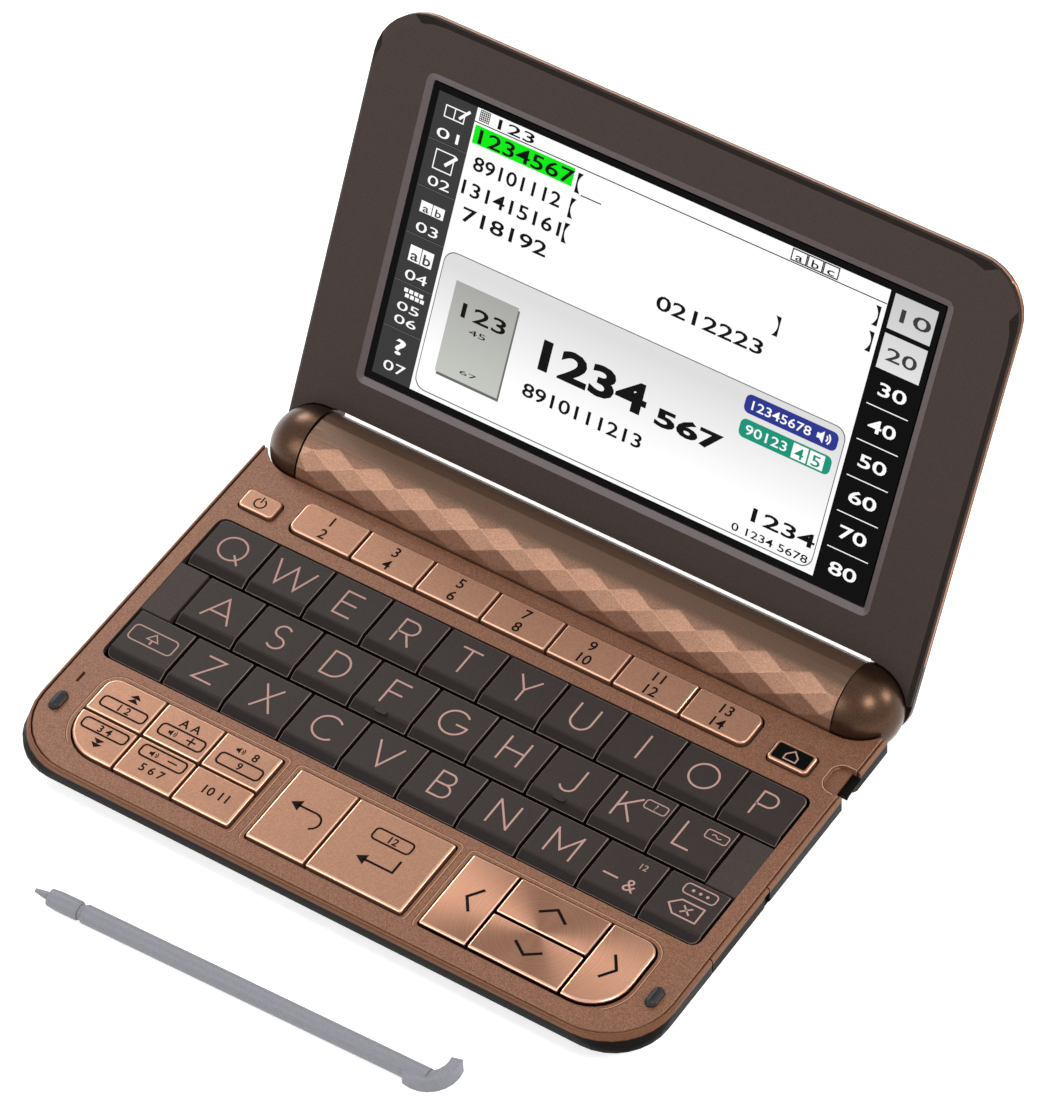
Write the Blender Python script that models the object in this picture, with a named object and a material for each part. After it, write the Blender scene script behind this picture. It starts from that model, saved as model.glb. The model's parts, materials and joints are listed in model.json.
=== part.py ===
"""Folding electronic dictionary, open on a table with its stylus laid in front of it.

A flat case carries fifty sprung keys and, along its rear edge, a faceted battery barrel.
The lid turns about that barrel on two ball-ended caps and holds the screen.
Width runs along X, the depth from the front face to the hinge along Y, and Z is up.
While it is modelled, height zero is the deck's top and Y zero the front face.
"""

import math

import bmesh
import bpy
from mathutils import Matrix, Vector

MM = 0.001

# Clearances and cuts
GAP = 0.3 * MM
OVERRUN = 3.0 * MM

# Case, from the front face to the rear tips of its side rails. The sizes of lid, barrel and keys
# follow from its width and depth, and a margin is measured in from its outline.
CASE_HALF_WIDTH = 74.2 * MM
CASE_DEPTH = 91.4 * MM
CASE_HEIGHT = 9.0 * MM
CORNER_RADIUS = 15.0 * MM
LOWER_CORNER_RADIUS = 12.0 * MM
LEAST_CORNER_RADIUS = 1.0 * MM
RAIL_HEIGHT = 1.0 * MM
FLARE_HEIGHT = 2.4 * MM
SIDE_HEIGHT = 4.0 * MM
BELLY_INSET = 11.0 * MM
BELLY_SHARES = ((0.0, 0.0), (0.21, 0.07), (0.53, 0.26), (0.83, 0.58), (1.0, 1.0))
REAR_INSET_SHARE = 0.3
RAIL_WIDTH = 0.6 * MM
RAIL_ROUND = 0.3 * MM
DECK_THICKNESS = 1.5 * MM
DECK_EDGE_ROUND = 0.2 * MM

# Feet under the case
FOOT_HEIGHT = 1.0 * MM
FOOT_HALF_LENGTH = 6.0 * MM
FOOT_HALF_WIDTH = 2.2 * MM
FOOT_SIDE_MARGIN = 18.2 * MM
FRONT_FOOT_Y = 16.0 * MM
REAR_FOOT_MARGIN = 4.8 * MM
FOOT_ROOT = 0.5 * MM

# Hinge axis and battery barrel
HINGE_SETBACK = 4.9 * MM
BARREL_RADIUS = 9.0 * MM
BARREL_TABLE_CLEARANCE = 0.4 * MM
BARREL_TOP_RELIEF = 0.4 * MM
FACET_PEAK_RISE = 0.15 * MM
FACET_CENTRE_DROP = 0.2 * MM
FACET_PITCH = 10.15 * MM
FACET_ROWS = 6
FACET_FIRST_ANGLE = 97.3
FACET_ROW_ANGLE = 15.2
PLAIN_ANGLE_STEPS = 18
TOP_FLAT_ANGLES = (10.0, 95.0)
TOP_FADE_ANGLE = 20.0

# Two cells end to end inside the barrel
BARREL_WALL = 1.35 * MM
BAY_END_WALL = 10.9 * MM
CELL_NUB_RADIUS = 2.75 * MM
CELL_NUB_LENGTH = 1.2 * MM
CELL_EDGE = 0.6 * MM
CONTACT_LENGTH = 2.0 * MM
BAY_CLEARANCE = 0.4 * MM

# Battery cover, a curved strip at the barrel's lower rear
COVER_FIRST_ANGLE = -82.0
COVER_LAST_ANGLE = -6.0
COVER_END_MARGIN = 0.5 * MM
COVER_STEPS = 12
COVER_RIB_DEPTH = 0.35 * MM
COVER_RIB_WIDTH = 1.0 * MM
COVER_RIB_PITCH = 2.4 * MM
COVER_RIBS = 4

# Hinge caps and pins, turning with the lid
CAP_END_MARGIN = 0.2 * MM
CAP_COLLAR = 1.6 * MM
CAP_CLEARANCE = 0.4 * MM
CAP_CASE_CLEARANCE = 1.0 * MM
PIN_RADIUS = 2.6 * MM
PIN_LENGTH = 4.0 * MM

# Lid, measured from the hinge axis along its face
LID_TILT = math.radians(27.9)
LID_SIDE_MARGIN = 0.2 * MM
LID_FRONT_MARGIN = 0.3 * MM
LID_TOP_RADIUS = 11.5 * MM
LID_FACE_RADIUS = 14.8 * MM
LID_LEG_RADIUS = 8.0 * MM
LID_LEG_LENGTH = 6.0 * MM
LID_FACE_SETBACK = 1.97 * MM
LID_THICKNESS = 5.5 * MM
LID_BACK_ROUND = 2.6 * MM
LID_BACK_SHARES = ((0.0, 0.0), (0.35, 0.0), (0.62, 0.18), (0.85, 0.5), (1.0, 1.0))
BEZEL_THICKNESS = 1.7 * MM
BEZEL_EDGE = 0.8 * MM
HORN_END = 3.0 * MM

# Screen window in the bezel and the panel behind it
WINDOW_SIDE_FRAME = 14.8 * MM
WINDOW_BOTTOM = 18.35 * MM
WINDOW_TOP_FRAME = 11.9 * MM
WINDOW_RADIUS = 0.4 * MM
WINDOW_CHAMFER = 1.45 * MM
PANEL_SETBACK = 0.5 * MM
PANEL_THICKNESS = 1.6 * MM
POCKET_LEDGE = 3.5 * MM
BACK_WALL = 1.1 * MM
LID_RIB_WIDTH = 1.2 * MM
LID_RIBS = 3

# Letter keys: ten columns and three rows in one opening
LETTER_SIDE_MARGIN = 4.2 * MM
LETTER_COLUMNS = 10
LETTER_REAR_MARGIN = 20.3 * MM
LETTER_FRONT_SPACE = 3.1 * MM
LETTER_ROWS = 3
LETTER_RISE = 0.1 * MM
LETTER_SIDE_GAP = 0.7 * MM
LETTER_END_GAP = 0.7 * MM
LETTER_FRONT_GAP = 0.92 * MM
LETTER_REAR_GAP = 0.38 * MM
LETTER_SKIRT_RUN = 2.25 * MM
LETTER_SKIRT_DROP = 1.1 * MM
LETTER_RADIUS = 2.0 * MM
FILLER_DROP = 0.25 * MM

# Copper keys: function row, power, home, left cluster, back, enter and cursor. Margins, widths and
# radii are those of the openings in the deck; the keys stand a gap inside them.
COPPER_RISE = 0.9 * MM
COPPER_GAP = 0.57 * MM
COPPER_OPENING_GAP = 0.45 * MM
SMALL_OPENING_GAP = 0.35 * MM
COPPER_RIM_RUN = 0.5 * MM
COPPER_INNER_RUN = 0.2 * MM
COPPER_RIM_HEIGHT = 0.3 * MM
COPPER_LEAST_RADIUS = 0.1 * MM
FUNCTION_LEFT_MARGIN = 17.0 * MM
FUNCTION_RIGHT_MARGIN = 22.2 * MM
FUNCTION_COUNT = 7
FUNCTION_SPACE = 3.3 * MM
FUNCTION_DEPTH = 9.1 * MM
FUNCTION_RADIUS = 2.2 * MM
POWER_MARGIN = 4.85 * MM
POWER_WIDTH = 8.9 * MM
POWER_DEPTH = 5.55 * MM
HOME_MARGIN = 8.25 * MM
HOME_WIDTH = 9.8 * MM
HOME_DEPTH = 5.9 * MM
SMALL_KEY_SETBACK = 0.15 * MM
SMALL_KEY_RADIUS = 1.25 * MM
CLUSTER_FRONT = 5.1 * MM
CLUSTER_DEPTH_SHARE = 0.30682
CLUSTER_MARGIN = 9.75 * MM
CLUSTER_WIDTH_SHARE = 0.34146
CLUSTER_COLUMNS = 3
CLUSTER_CORNER_RADIUS = 8.9 * MM
CLUSTER_BACK_RADIUS = 3.6 * MM
BACK_KEY_SPACE = 3.35 * MM
BACK_KEY_WIDTH_SHARE = 0.11642
ENTER_KEY_WIDTH_SHARE = 0.18602
CURSOR_SPACE = 3.2 * MM
CURSOR_MARGIN = 9.1 * MM
CURSOR_SIDE_SHARE = 0.26
SQUARE_RADIUS = 0.85 * MM

# Keys below the deck
KEY_EDGE = 0.2 * MM
KEY_DEPTH = 1.4 * MM
KEY_TRAVEL = 1.0 * MM
FUNCTION_TRAVEL = 0.6 * MM

# Bumpers, microphone slot and the stylus notch in the deck
BUMPER_MARGIN = 4.5 * MM
BUMPER_Y = 14.4 * MM
BUMPER_HALF_LENGTH = 2.45 * MM
BUMPER_HALF_WIDTH = 1.2 * MM
BUMPER_RISE = 1.0 * MM
BUMPER_DOME_SHARE = 0.55
SLOT_MARGIN = 4.6 * MM
SLOT_Y = 21.7 * MM
SLOT_HALF_LENGTH = 1.4 * MM
SLOT_HALF_WIDTH = 0.33 * MM
SLOT_DEPTH = 0.9 * MM
NOTCH_REAR_MARGIN = 13.5 * MM
NOTCH_HALF_WIDTH = 3.5 * MM
NOTCH_CORNER_RADIUS = 2.4 * MM
NOTCH_INNER_MARGIN = 5.2 * MM
NOTCH_FLOOR = 0.9 * MM
NOTCH_OPEN_MARGIN = 1.8 * MM
NOTCH_OPEN_DROP = 2.2 * MM
NOTCH_SLIT_WIDTH = 2.0 * MM

# Silo that the stylus slides into, below the function keys
SILO_RADIUS = 2.35 * MM
SILO_DROP = 4.9 * MM
SILO_LENGTH = 88.0 * MM

# Port cover on the right rail, with the sockets behind it
PORT_FRONT = 27.8 * MM
PORT_REAR = 47.9 * MM
PORT_DEPTH = 1.9 * MM
PORT_HEIGHT = 4.3 * MM
PORT_SHOULDER = 2.2 * MM
CATCH_RADIUS = 2.4 * MM
CATCH_DEPTH = 0.7 * MM
CATCH_TOP = 1.0 * MM
CARD_SLOT_LENGTH = 11.6 * MM
CARD_SLOT_HEIGHT = 0.9 * MM
CARD_SLOT_DEPTH = 12.0 * MM
CARD_SLOT_DROP = 3.0 * MM
SOCKET_LENGTH = 5.0 * MM
SOCKET_HEIGHT = 1.9 * MM
SOCKET_DEPTH = 5.0 * MM
SOCKET_INSET = 3.4 * MM

# Earphone jack on the left side
JACK_Y = 40.0 * MM
JACK_DROP = 3.3 * MM
JACK_RADIUS = 1.25 * MM
JACK_DEPTH = 12.0 * MM

# Stylus on the table, parallel to the front edge
STYLUS_Y = -20.3 * MM
STYLUS_TIP_X = -49.9 * MM
STYLUS_TURN = math.radians(1.6)
STYLUS_RADIUS = 2.05 * MM
NIB_LENGTH = 3.6 * MM
NIB_TIP_RADIUS = 0.45 * MM
NIB_ROOT_RADIUS = 1.0 * MM
COLLAR_LENGTH = 7.0 * MM
COLLAR_END_RADIUS = 1.85 * MM
GROOVE_LENGTH = 0.9 * MM
GROOVE_RADIUS = 1.6 * MM
SHAFT_LENGTH = 78.6 * MM
SHAFT_EDGE = 0.4 * MM
HOOK_INNER_RADIUS = 4.6 * MM
HOOK_OUTER_RADIUS = 6.9 * MM
HOOK_THICKNESS = 3.7 * MM
HOOK_CENTRE_BACK = 2.6 * MM
HOOK_CENTRE_ASIDE = 4.4 * MM
HOOK_ANGLES = (254.0, 374.0)

# Smoothness, counted in steps
ROUND_SIDES = 32
SMALL_SIDES = 16
CORNER_STEPS = 8
SMALL_CORNER_STEPS = 3
BALL_STEPS = 8

# Case, hinge and barrel, as they follow from the sizes above
CASE_TOP = -(DECK_THICKNESS + GAP)
TABLE = -(CASE_HEIGHT + FOOT_HEIGHT)
DECK_INSET = RAIL_WIDTH + GAP
HINGE_Y = CASE_DEPTH + HINGE_SETBACK
HINGE_DROP = -TABLE - BARREL_RADIUS - BARREL_TABLE_CLEARANCE
HINGE = Vector((0.0, HINGE_Y, -HINGE_DROP))
CAP_RADIUS = BARREL_RADIUS
CAP_CENTRE_X = CASE_HALF_WIDTH - CAP_END_MARGIN - CAP_RADIUS
BARREL_HALF_LENGTH = CAP_CENTRE_X - CAP_COLLAR
BARREL_TOP_RADIUS = BARREL_RADIUS - BARREL_TOP_RELIEF
FACET_PEAK_RADIUS = BARREL_RADIUS + FACET_PEAK_RISE
FACET_CENTRE_RADIUS = BARREL_RADIUS - FACET_CENTRE_DROP
BAY_RADIUS = BARREL_RADIUS - BARREL_WALL
BAY_HALF_LENGTH = BARREL_HALF_LENGTH - BAY_END_WALL
CELL_RADIUS = BAY_RADIUS - BAY_CLEARANCE
CELL_LENGTH = BAY_HALF_LENGTH - CONTACT_LENGTH
COVER_HALF_LENGTH = BAY_HALF_LENGTH - COVER_END_MARGIN

# Lid and its window
LID_HALF_WIDTH = CASE_HALF_WIDTH - LID_SIDE_MARGIN
LID_LENGTH = HINGE_Y - LID_FRONT_MARGIN
BARREL_SLIT = BARREL_RADIUS + GAP
WINDOW_HALF_WIDTH = LID_HALF_WIDTH - WINDOW_SIDE_FRAME
WINDOW_TOP = LID_LENGTH - WINDOW_TOP_FRAME

# Places of the keys
LETTER_BACK = CASE_DEPTH - LETTER_REAR_MARGIN
CLUSTER_DEPTH = CLUSTER_DEPTH_SHARE * (LETTER_BACK - CLUSTER_FRONT)
CLUSTER_BACK = CLUSTER_FRONT + CLUSTER_DEPTH
CLUSTER_MIDDLE = CLUSTER_FRONT + CLUSTER_DEPTH / 2
CLUSTER_FRONT_RADIUS = min(CLUSTER_CORNER_RADIUS, CLUSTER_DEPTH / 2 - COPPER_GAP - COPPER_INNER_RUN)
LETTER_FRONT = CLUSTER_BACK + LETTER_FRONT_SPACE
LETTER_ROW_PITCH = (LETTER_BACK - LETTER_FRONT) / LETTER_ROWS
LETTER_LEFT = LETTER_SIDE_MARGIN - CASE_HALF_WIDTH
LETTER_PITCH = (LETTER_SIDE_GAP - 2 * (LETTER_LEFT + LETTER_END_GAP)) / LETTER_COLUMNS
FUNCTION_FRONT = LETTER_BACK + FUNCTION_SPACE
FUNCTION_LEFT = FUNCTION_LEFT_MARGIN - CASE_HALF_WIDTH
FUNCTION_PITCH = (CASE_HALF_WIDTH - FUNCTION_RIGHT_MARGIN - FUNCTION_LEFT) / FUNCTION_COUNT
SMALL_KEY_FRONT = FUNCTION_FRONT + SMALL_KEY_SETBACK
POWER_LEFT = POWER_MARGIN - CASE_HALF_WIDTH
HOME_LEFT = CASE_HALF_WIDTH - HOME_MARGIN - HOME_WIDTH
CLUSTER_LEFT = CLUSTER_MARGIN - CASE_HALF_WIDTH
CURSOR_RIGHT = CASE_HALF_WIDTH - CURSOR_MARGIN
CONTROL_WIDTH = CURSOR_RIGHT - CLUSTER_LEFT - BACK_KEY_SPACE - CURSOR_SPACE
CLUSTER_PITCH = CLUSTER_WIDTH_SHARE * CONTROL_WIDTH / CLUSTER_COLUMNS
BACK_KEY_LEFT = CLUSTER_LEFT + CLUSTER_WIDTH_SHARE * CONTROL_WIDTH + BACK_KEY_SPACE
BACK_KEY_WIDTH = BACK_KEY_WIDTH_SHARE * CONTROL_WIDTH
ENTER_KEY_WIDTH = ENTER_KEY_WIDTH_SHARE * CONTROL_WIDTH
CURSOR_LEFT = BACK_KEY_LEFT + BACK_KEY_WIDTH + ENTER_KEY_WIDTH + CURSOR_SPACE
CURSOR_SIDE_WIDTH = CURSOR_SIDE_SHARE * (CURSOR_RIGHT - CURSOR_LEFT)

# Places of the feet, bumpers, microphone slot and notch
FOOT_X = CASE_HALF_WIDTH - FOOT_SIDE_MARGIN
REAR_FOOT_Y = CASE_DEPTH - REAR_FOOT_MARGIN
BUMPER_X = CASE_HALF_WIDTH - BUMPER_MARGIN
SLOT_X = SLOT_MARGIN - CASE_HALF_WIDTH
NOTCH_Y = CASE_DEPTH - NOTCH_REAR_MARGIN
NOTCH_INNER_X = CASE_HALF_WIDTH - NOTCH_INNER_MARGIN
NOTCH_OPEN_X = CASE_HALF_WIDTH - NOTCH_OPEN_MARGIN


def linear(channel):
    """Turn one sRGB channel into a linear one."""
    if channel <= 0.04045:
        return channel / 12.92
    return ((channel + 0.055) / 1.055) ** 2.4


def make_material(name, hex_colour, roughness, metallic):
    channels = [int(hex_colour[i:i + 2], 16) / 255 for i in (0, 2, 4)]
    material = bpy.data.materials.new(name)
    material.use_nodes = True
    shader = material.node_tree.nodes["Principled BSDF"]
    shader.inputs["Base Color"].default_value = (*[linear(c) for c in channels], 1.0)
    shader.inputs["Roughness"].default_value = roughness
    shader.inputs["Metallic"].default_value = metallic
    return material


def make_object(name, bm, material, origin=None):
    """Turn a bmesh into a named object whose origin lies at the given point."""
    origin = Vector((0.0, 0.0, 0.0)) if origin is None else origin
    bmesh.ops.translate(bm, verts=bm.verts[:], vec=-origin)
    mesh = bpy.data.meshes.new(name)
    bm.to_mesh(mesh)
    bm.free()
    mesh.materials.append(material)
    obj = bpy.data.objects.new(name, mesh)
    obj.location = origin
    bpy.context.scene.collection.objects.link(obj)
    return obj


def combine(bm, other, operation):
    """Return a bmesh that joins, cuts or intersects two closed ones."""
    material = bpy.data.materials[0]
    body = make_object("body", bm, material)
    tool = make_object("tool", other, material)
    tool.hide_render = True
    tool.display_type = "WIRE"
    modifier = body.modifiers.new("combine", "BOOLEAN")
    modifier.operation = operation
    modifier.solver = "EXACT"
    modifier.object = tool
    bpy.context.view_layer.update()
    evaluated = body.evaluated_get(bpy.context.evaluated_depsgraph_get())
    result = bmesh.new()
    result.from_mesh(evaluated.to_mesh())
    evaluated.to_mesh_clear()
    for used in (body, tool):
        mesh = used.data
        bpy.data.objects.remove(used)
        bpy.data.meshes.remove(mesh)
    return result


def cut(bm, *tools):
    for tool in tools:
        bm = combine(bm, tool, "DIFFERENCE")
    return bm


def join(bm, *others):
    for other in others:
        bm = combine(bm, other, "UNION")
    return bm


def smooth(obj, degrees=30.0):
    obj.data.shade_smooth()
    obj.data.set_sharp_from_angle(angle=math.radians(degrees))


def rounded_outline(x0, x1, y0, y1, radii, steps=CORNER_STEPS):
    """Points of a rectangle whose corners are rounded.

    The radii start at the front left corner and go round anticlockwise.
    """
    corners = ((x0, y0, 1, 1, 180.0), (x1, y0, -1, 1, 270.0), (x1, y1, -1, -1, 0.0), (x0, y1, 1, -1, 90.0))
    points = []
    for (x, y, to_x, to_y, start), radius in zip(corners, radii):
        if radius == 0:
            points.append((x, y))
            continue
        centre = (x + to_x * radius, y + to_y * radius)
        for i in range(steps + 1):
            angle = math.radians(start + 90.0 * i / steps)
            points.append((centre[0] + radius * math.cos(angle), centre[1] + radius * math.sin(angle)))
    return points


def loft(loops):
    """Close a body over loops of equal length, each a list of 3-D points."""
    bm = bmesh.new()
    rings = [[bm.verts.new(point) for point in loop] for loop in loops]
    count = len(rings[0])
    for lower, upper in zip(rings, rings[1:]):
        for i in range(count):
            j = (i + 1) % count
            bm.faces.new((lower[i], lower[j], upper[j], upper[i]))
    bm.faces.new(rings[0][::-1])
    bm.faces.new(rings[-1])
    bmesh.ops.recalc_face_normals(bm, faces=bm.faces[:])
    return bm


def prism(outline, z0, z1):
    return loft([[(x, y, z) for x, y in outline] for z in (z0, z1)])


def box(x0, x1, y0, y1, z0, z1):
    return prism(((x0, y0), (x1, y0), (x1, y1), (x0, y1)), z0, z1)


def turned(profile, centre_y, centre_z, sides):
    """Revolve points (x, radius) about an axis along X; a zero radius closes an end."""
    bm = bmesh.new()
    rings = []
    for x, radius in profile:
        if radius == 0:
            rings.append([bm.verts.new((x, centre_y, centre_z))])
            continue
        ring = []
        for i in range(sides):
            angle = math.tau * i / sides
            y = centre_y + radius * math.cos(angle)
            ring.append(bm.verts.new((x, y, centre_z + radius * math.sin(angle))))
        rings.append(ring)
    for left, right in zip(rings, rings[1:]):
        for i in range(sides):
            j = (i + 1) % sides
            corners = [left[i % len(left)], left[j % len(left)], right[j % len(right)], right[i % len(right)]]
            bm.faces.new(list(dict.fromkeys(corners)))
    for ring in (rings[0], rings[-1]):
        if len(ring) > 1:
            bm.faces.new(ring)
    bmesh.ops.recalc_face_normals(bm, faces=bm.faces[:])
    return bm


def rod(x0, x1, radius, centre_y, centre_z, sides=ROUND_SIDES):
    return turned(((x0, radius), (x1, radius)), centre_y, centre_z, sides)


def cap_profile(side):
    """Profile of one ball-ended cap with its pin, from the pin's end to the ball's pole."""
    inner = BARREL_HALF_LENGTH + GAP
    points = [(inner - PIN_LENGTH, 0.0), (inner - PIN_LENGTH, PIN_RADIUS)]
    points += [(inner, PIN_RADIUS), (inner, CAP_RADIUS)]
    for i in range(BALL_STEPS):
        angle = math.pi / 2 * i / BALL_STEPS
        points.append((CAP_CENTRE_X + CAP_RADIUS * math.sin(angle), CAP_RADIUS * math.cos(angle)))
    points.append((CAP_CENTRE_X + CAP_RADIUS, 0.0))
    return [(side * x, radius) for x, radius in points]


def cap_space(side, radius):
    """The room that a turning cap needs, round the hinge axis."""
    inner = BARREL_HALF_LENGTH - GAP
    points = [(inner, 0.0), (inner, radius)]
    for i in range(BALL_STEPS):
        angle = math.pi / 2 * i / BALL_STEPS
        points.append((CAP_CENTRE_X + radius * math.sin(angle), radius * math.cos(angle)))
    points.append((CAP_CENTRE_X + radius, 0.0))
    return [(side * x, r) for x, r in points]


def hinge_space(cap_clearance):
    """The room round the barrel and, with a clearance of its own, round both caps."""
    barrel_space = BARREL_RADIUS + CAP_CLEARANCE
    profile = []
    for side in (-1, 1):
        half = cap_space(side, CAP_RADIUS + cap_clearance)[1:]
        half.insert(0, (half[0][0], barrel_space))
        profile += half[::-1] if side < 0 else half
    return turned(profile, HINGE_Y, -HINGE_DROP, ROUND_SIDES)


def case_outline(inset, corner_radius=CORNER_RADIUS, rear=CASE_DEPTH):
    """Plan outline of the case, drawn in by the inset at its sides and front."""
    half = CASE_HALF_WIDTH - inset
    front_radius = max(corner_radius - inset, LEAST_CORNER_RADIUS)
    rear -= REAR_INSET_SHARE * inset
    return rounded_outline(-half, half, inset, rear, (front_radius, front_radius, 0.0, 0.0))


def case_hull():
    """The outer form: a side that fills out at its front corners, then curves in to a flat floor."""
    levels = [(0.0, RAIL_ROUND, CORNER_RADIUS), (RAIL_ROUND, 0.0, CORNER_RADIUS)]
    levels.append((RAIL_HEIGHT, 0.0, CORNER_RADIUS))
    levels.append((FLARE_HEIGHT, 0.0, LOWER_CORNER_RADIUS))
    belly = CASE_HEIGHT - SIDE_HEIGHT
    for down_share, inset_share in BELLY_SHARES:
        inset = inset_share * BELLY_INSET
        levels.append((SIDE_HEIGHT + down_share * belly, inset, LOWER_CORNER_RADIUS))
    loops = []
    for down, inset, radius in levels:
        loops.append([(x, y, -down) for x, y in case_outline(inset, radius)])
    return loft(loops)


def notch_opening():
    """The gap in the right rail that bares the mouth of the stylus silo."""
    return box(NOTCH_OPEN_X, CASE_HALF_WIDTH + OVERRUN, NOTCH_Y - NOTCH_HALF_WIDTH,
               NOTCH_Y + NOTCH_HALF_WIDTH, -NOTCH_OPEN_DROP, OVERRUN)


def notch_slit():
    """The slit right through the side in front of the silo's mouth, for a fingernail."""
    front = NOTCH_Y - NOTCH_HALF_WIDTH
    return box(NOTCH_OPEN_X, CASE_HALF_WIDTH + OVERRUN, front, front + NOTCH_SLIT_WIDTH,
               -CASE_HEIGHT - OVERRUN, OVERRUN)


def port_recess():
    """The recess in the right side that the port cover closes."""
    return box(CASE_HALF_WIDTH - PORT_DEPTH - GAP, CASE_HALF_WIDTH + OVERRUN,
               PORT_FRONT - GAP, PORT_REAR + GAP, -PORT_HEIGHT - GAP, OVERRUN)


def port_block():
    """The step-shaped block of the right side that the port cover fills, passing under the deck."""
    outer = CASE_HALF_WIDTH + OVERRUN
    rail = CASE_HALF_WIDTH - RAIL_WIDTH
    inner = CASE_HALF_WIDTH - PORT_DEPTH
    section = ((outer, -PORT_HEIGHT), (inner, -PORT_HEIGHT), (inner, -PORT_SHOULDER),
               (rail, -PORT_SHOULDER), (rail, OVERRUN), (outer, OVERRUN))
    return loft([[(x, y, z) for x, z in section] for y in (PORT_FRONT, PORT_REAR)])


def key_well(x0, x1, y0, y1, travel):
    """Room below a group of keys, so that they can be pressed."""
    floor = -(KEY_DEPTH + travel + GAP)
    return box(x0, x1, y0, y1, floor, CASE_TOP + OVERRUN)


def make_bottom_case(material):
    body = case_hull()
    inner = case_outline(RAIL_WIDTH, rear=CASE_DEPTH + OVERRUN)
    body = cut(body, prism(inner, CASE_TOP, OVERRUN))
    body = cut(body, hinge_space(CAP_CASE_CLEARANCE))
    letter_right = -LETTER_LEFT
    body = cut(body, key_well(LETTER_LEFT, letter_right, LETTER_FRONT, LETTER_BACK, KEY_TRAVEL))
    body = cut(body, key_well(CLUSTER_LEFT, CURSOR_RIGHT, CLUSTER_FRONT, CLUSTER_BACK, KEY_TRAVEL))
    body = cut(body, key_well(POWER_LEFT, HOME_LEFT + HOME_WIDTH, FUNCTION_FRONT,
                              FUNCTION_FRONT + FUNCTION_DEPTH, FUNCTION_TRAVEL))
    body = cut(body, notch_opening(), notch_slit(), port_recess())
    mouth = CASE_HALF_WIDTH + OVERRUN
    body = cut(body, rod(CASE_HALF_WIDTH - SILO_LENGTH, mouth, SILO_RADIUS, NOTCH_Y, -SILO_DROP, SMALL_SIDES))
    port_floor = CASE_HALF_WIDTH - PORT_DEPTH - GAP
    middle = (PORT_FRONT + PORT_REAR) / 2
    slot_y = middle + SOCKET_INSET
    body = cut(body, box(port_floor - CARD_SLOT_DEPTH, port_floor + OVERRUN,
                         slot_y - CARD_SLOT_LENGTH / 2, slot_y + CARD_SLOT_LENGTH / 2,
                         -CARD_SLOT_DROP - CARD_SLOT_HEIGHT / 2, -CARD_SLOT_DROP + CARD_SLOT_HEIGHT / 2))
    socket_y = PORT_FRONT + SOCKET_INSET
    body = cut(body, box(port_floor - SOCKET_DEPTH, port_floor + OVERRUN,
                         socket_y - SOCKET_LENGTH / 2, socket_y + SOCKET_LENGTH / 2,
                         -CARD_SLOT_DROP - SOCKET_HEIGHT / 2, -CARD_SLOT_DROP + SOCKET_HEIGHT / 2))
    body = cut(body, rod(-CASE_HALF_WIDTH - OVERRUN, -CASE_HALF_WIDTH + JACK_DEPTH, JACK_RADIUS,
                         JACK_Y, -JACK_DROP, SMALL_SIDES))
    for x_side in (-1, 1):
        for y in (FRONT_FOOT_Y, REAR_FOOT_Y):
            x = x_side * FOOT_X
            radii = (FOOT_HALF_WIDTH,) * 4
            outline = rounded_outline(x - FOOT_HALF_LENGTH, x + FOOT_HALF_LENGTH,
                                      y - FOOT_HALF_WIDTH, y + FOOT_HALF_WIDTH, radii, SMALL_CORNER_STEPS)
            body = join(body, prism(outline, TABLE, -CASE_HEIGHT + FOOT_ROOT))
    return make_object("bottom_case", body, material)


def letter_row_bounds(row):
    """Left end, right end, front and back of one row of letter keys, the row at the back first."""
    back = LETTER_BACK - row * LETTER_ROW_PITCH
    shift = LETTER_PITCH / 2 if row == 1 else 0.0
    return LETTER_LEFT + shift, -LETTER_LEFT - shift, back - LETTER_ROW_PITCH, back


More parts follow.
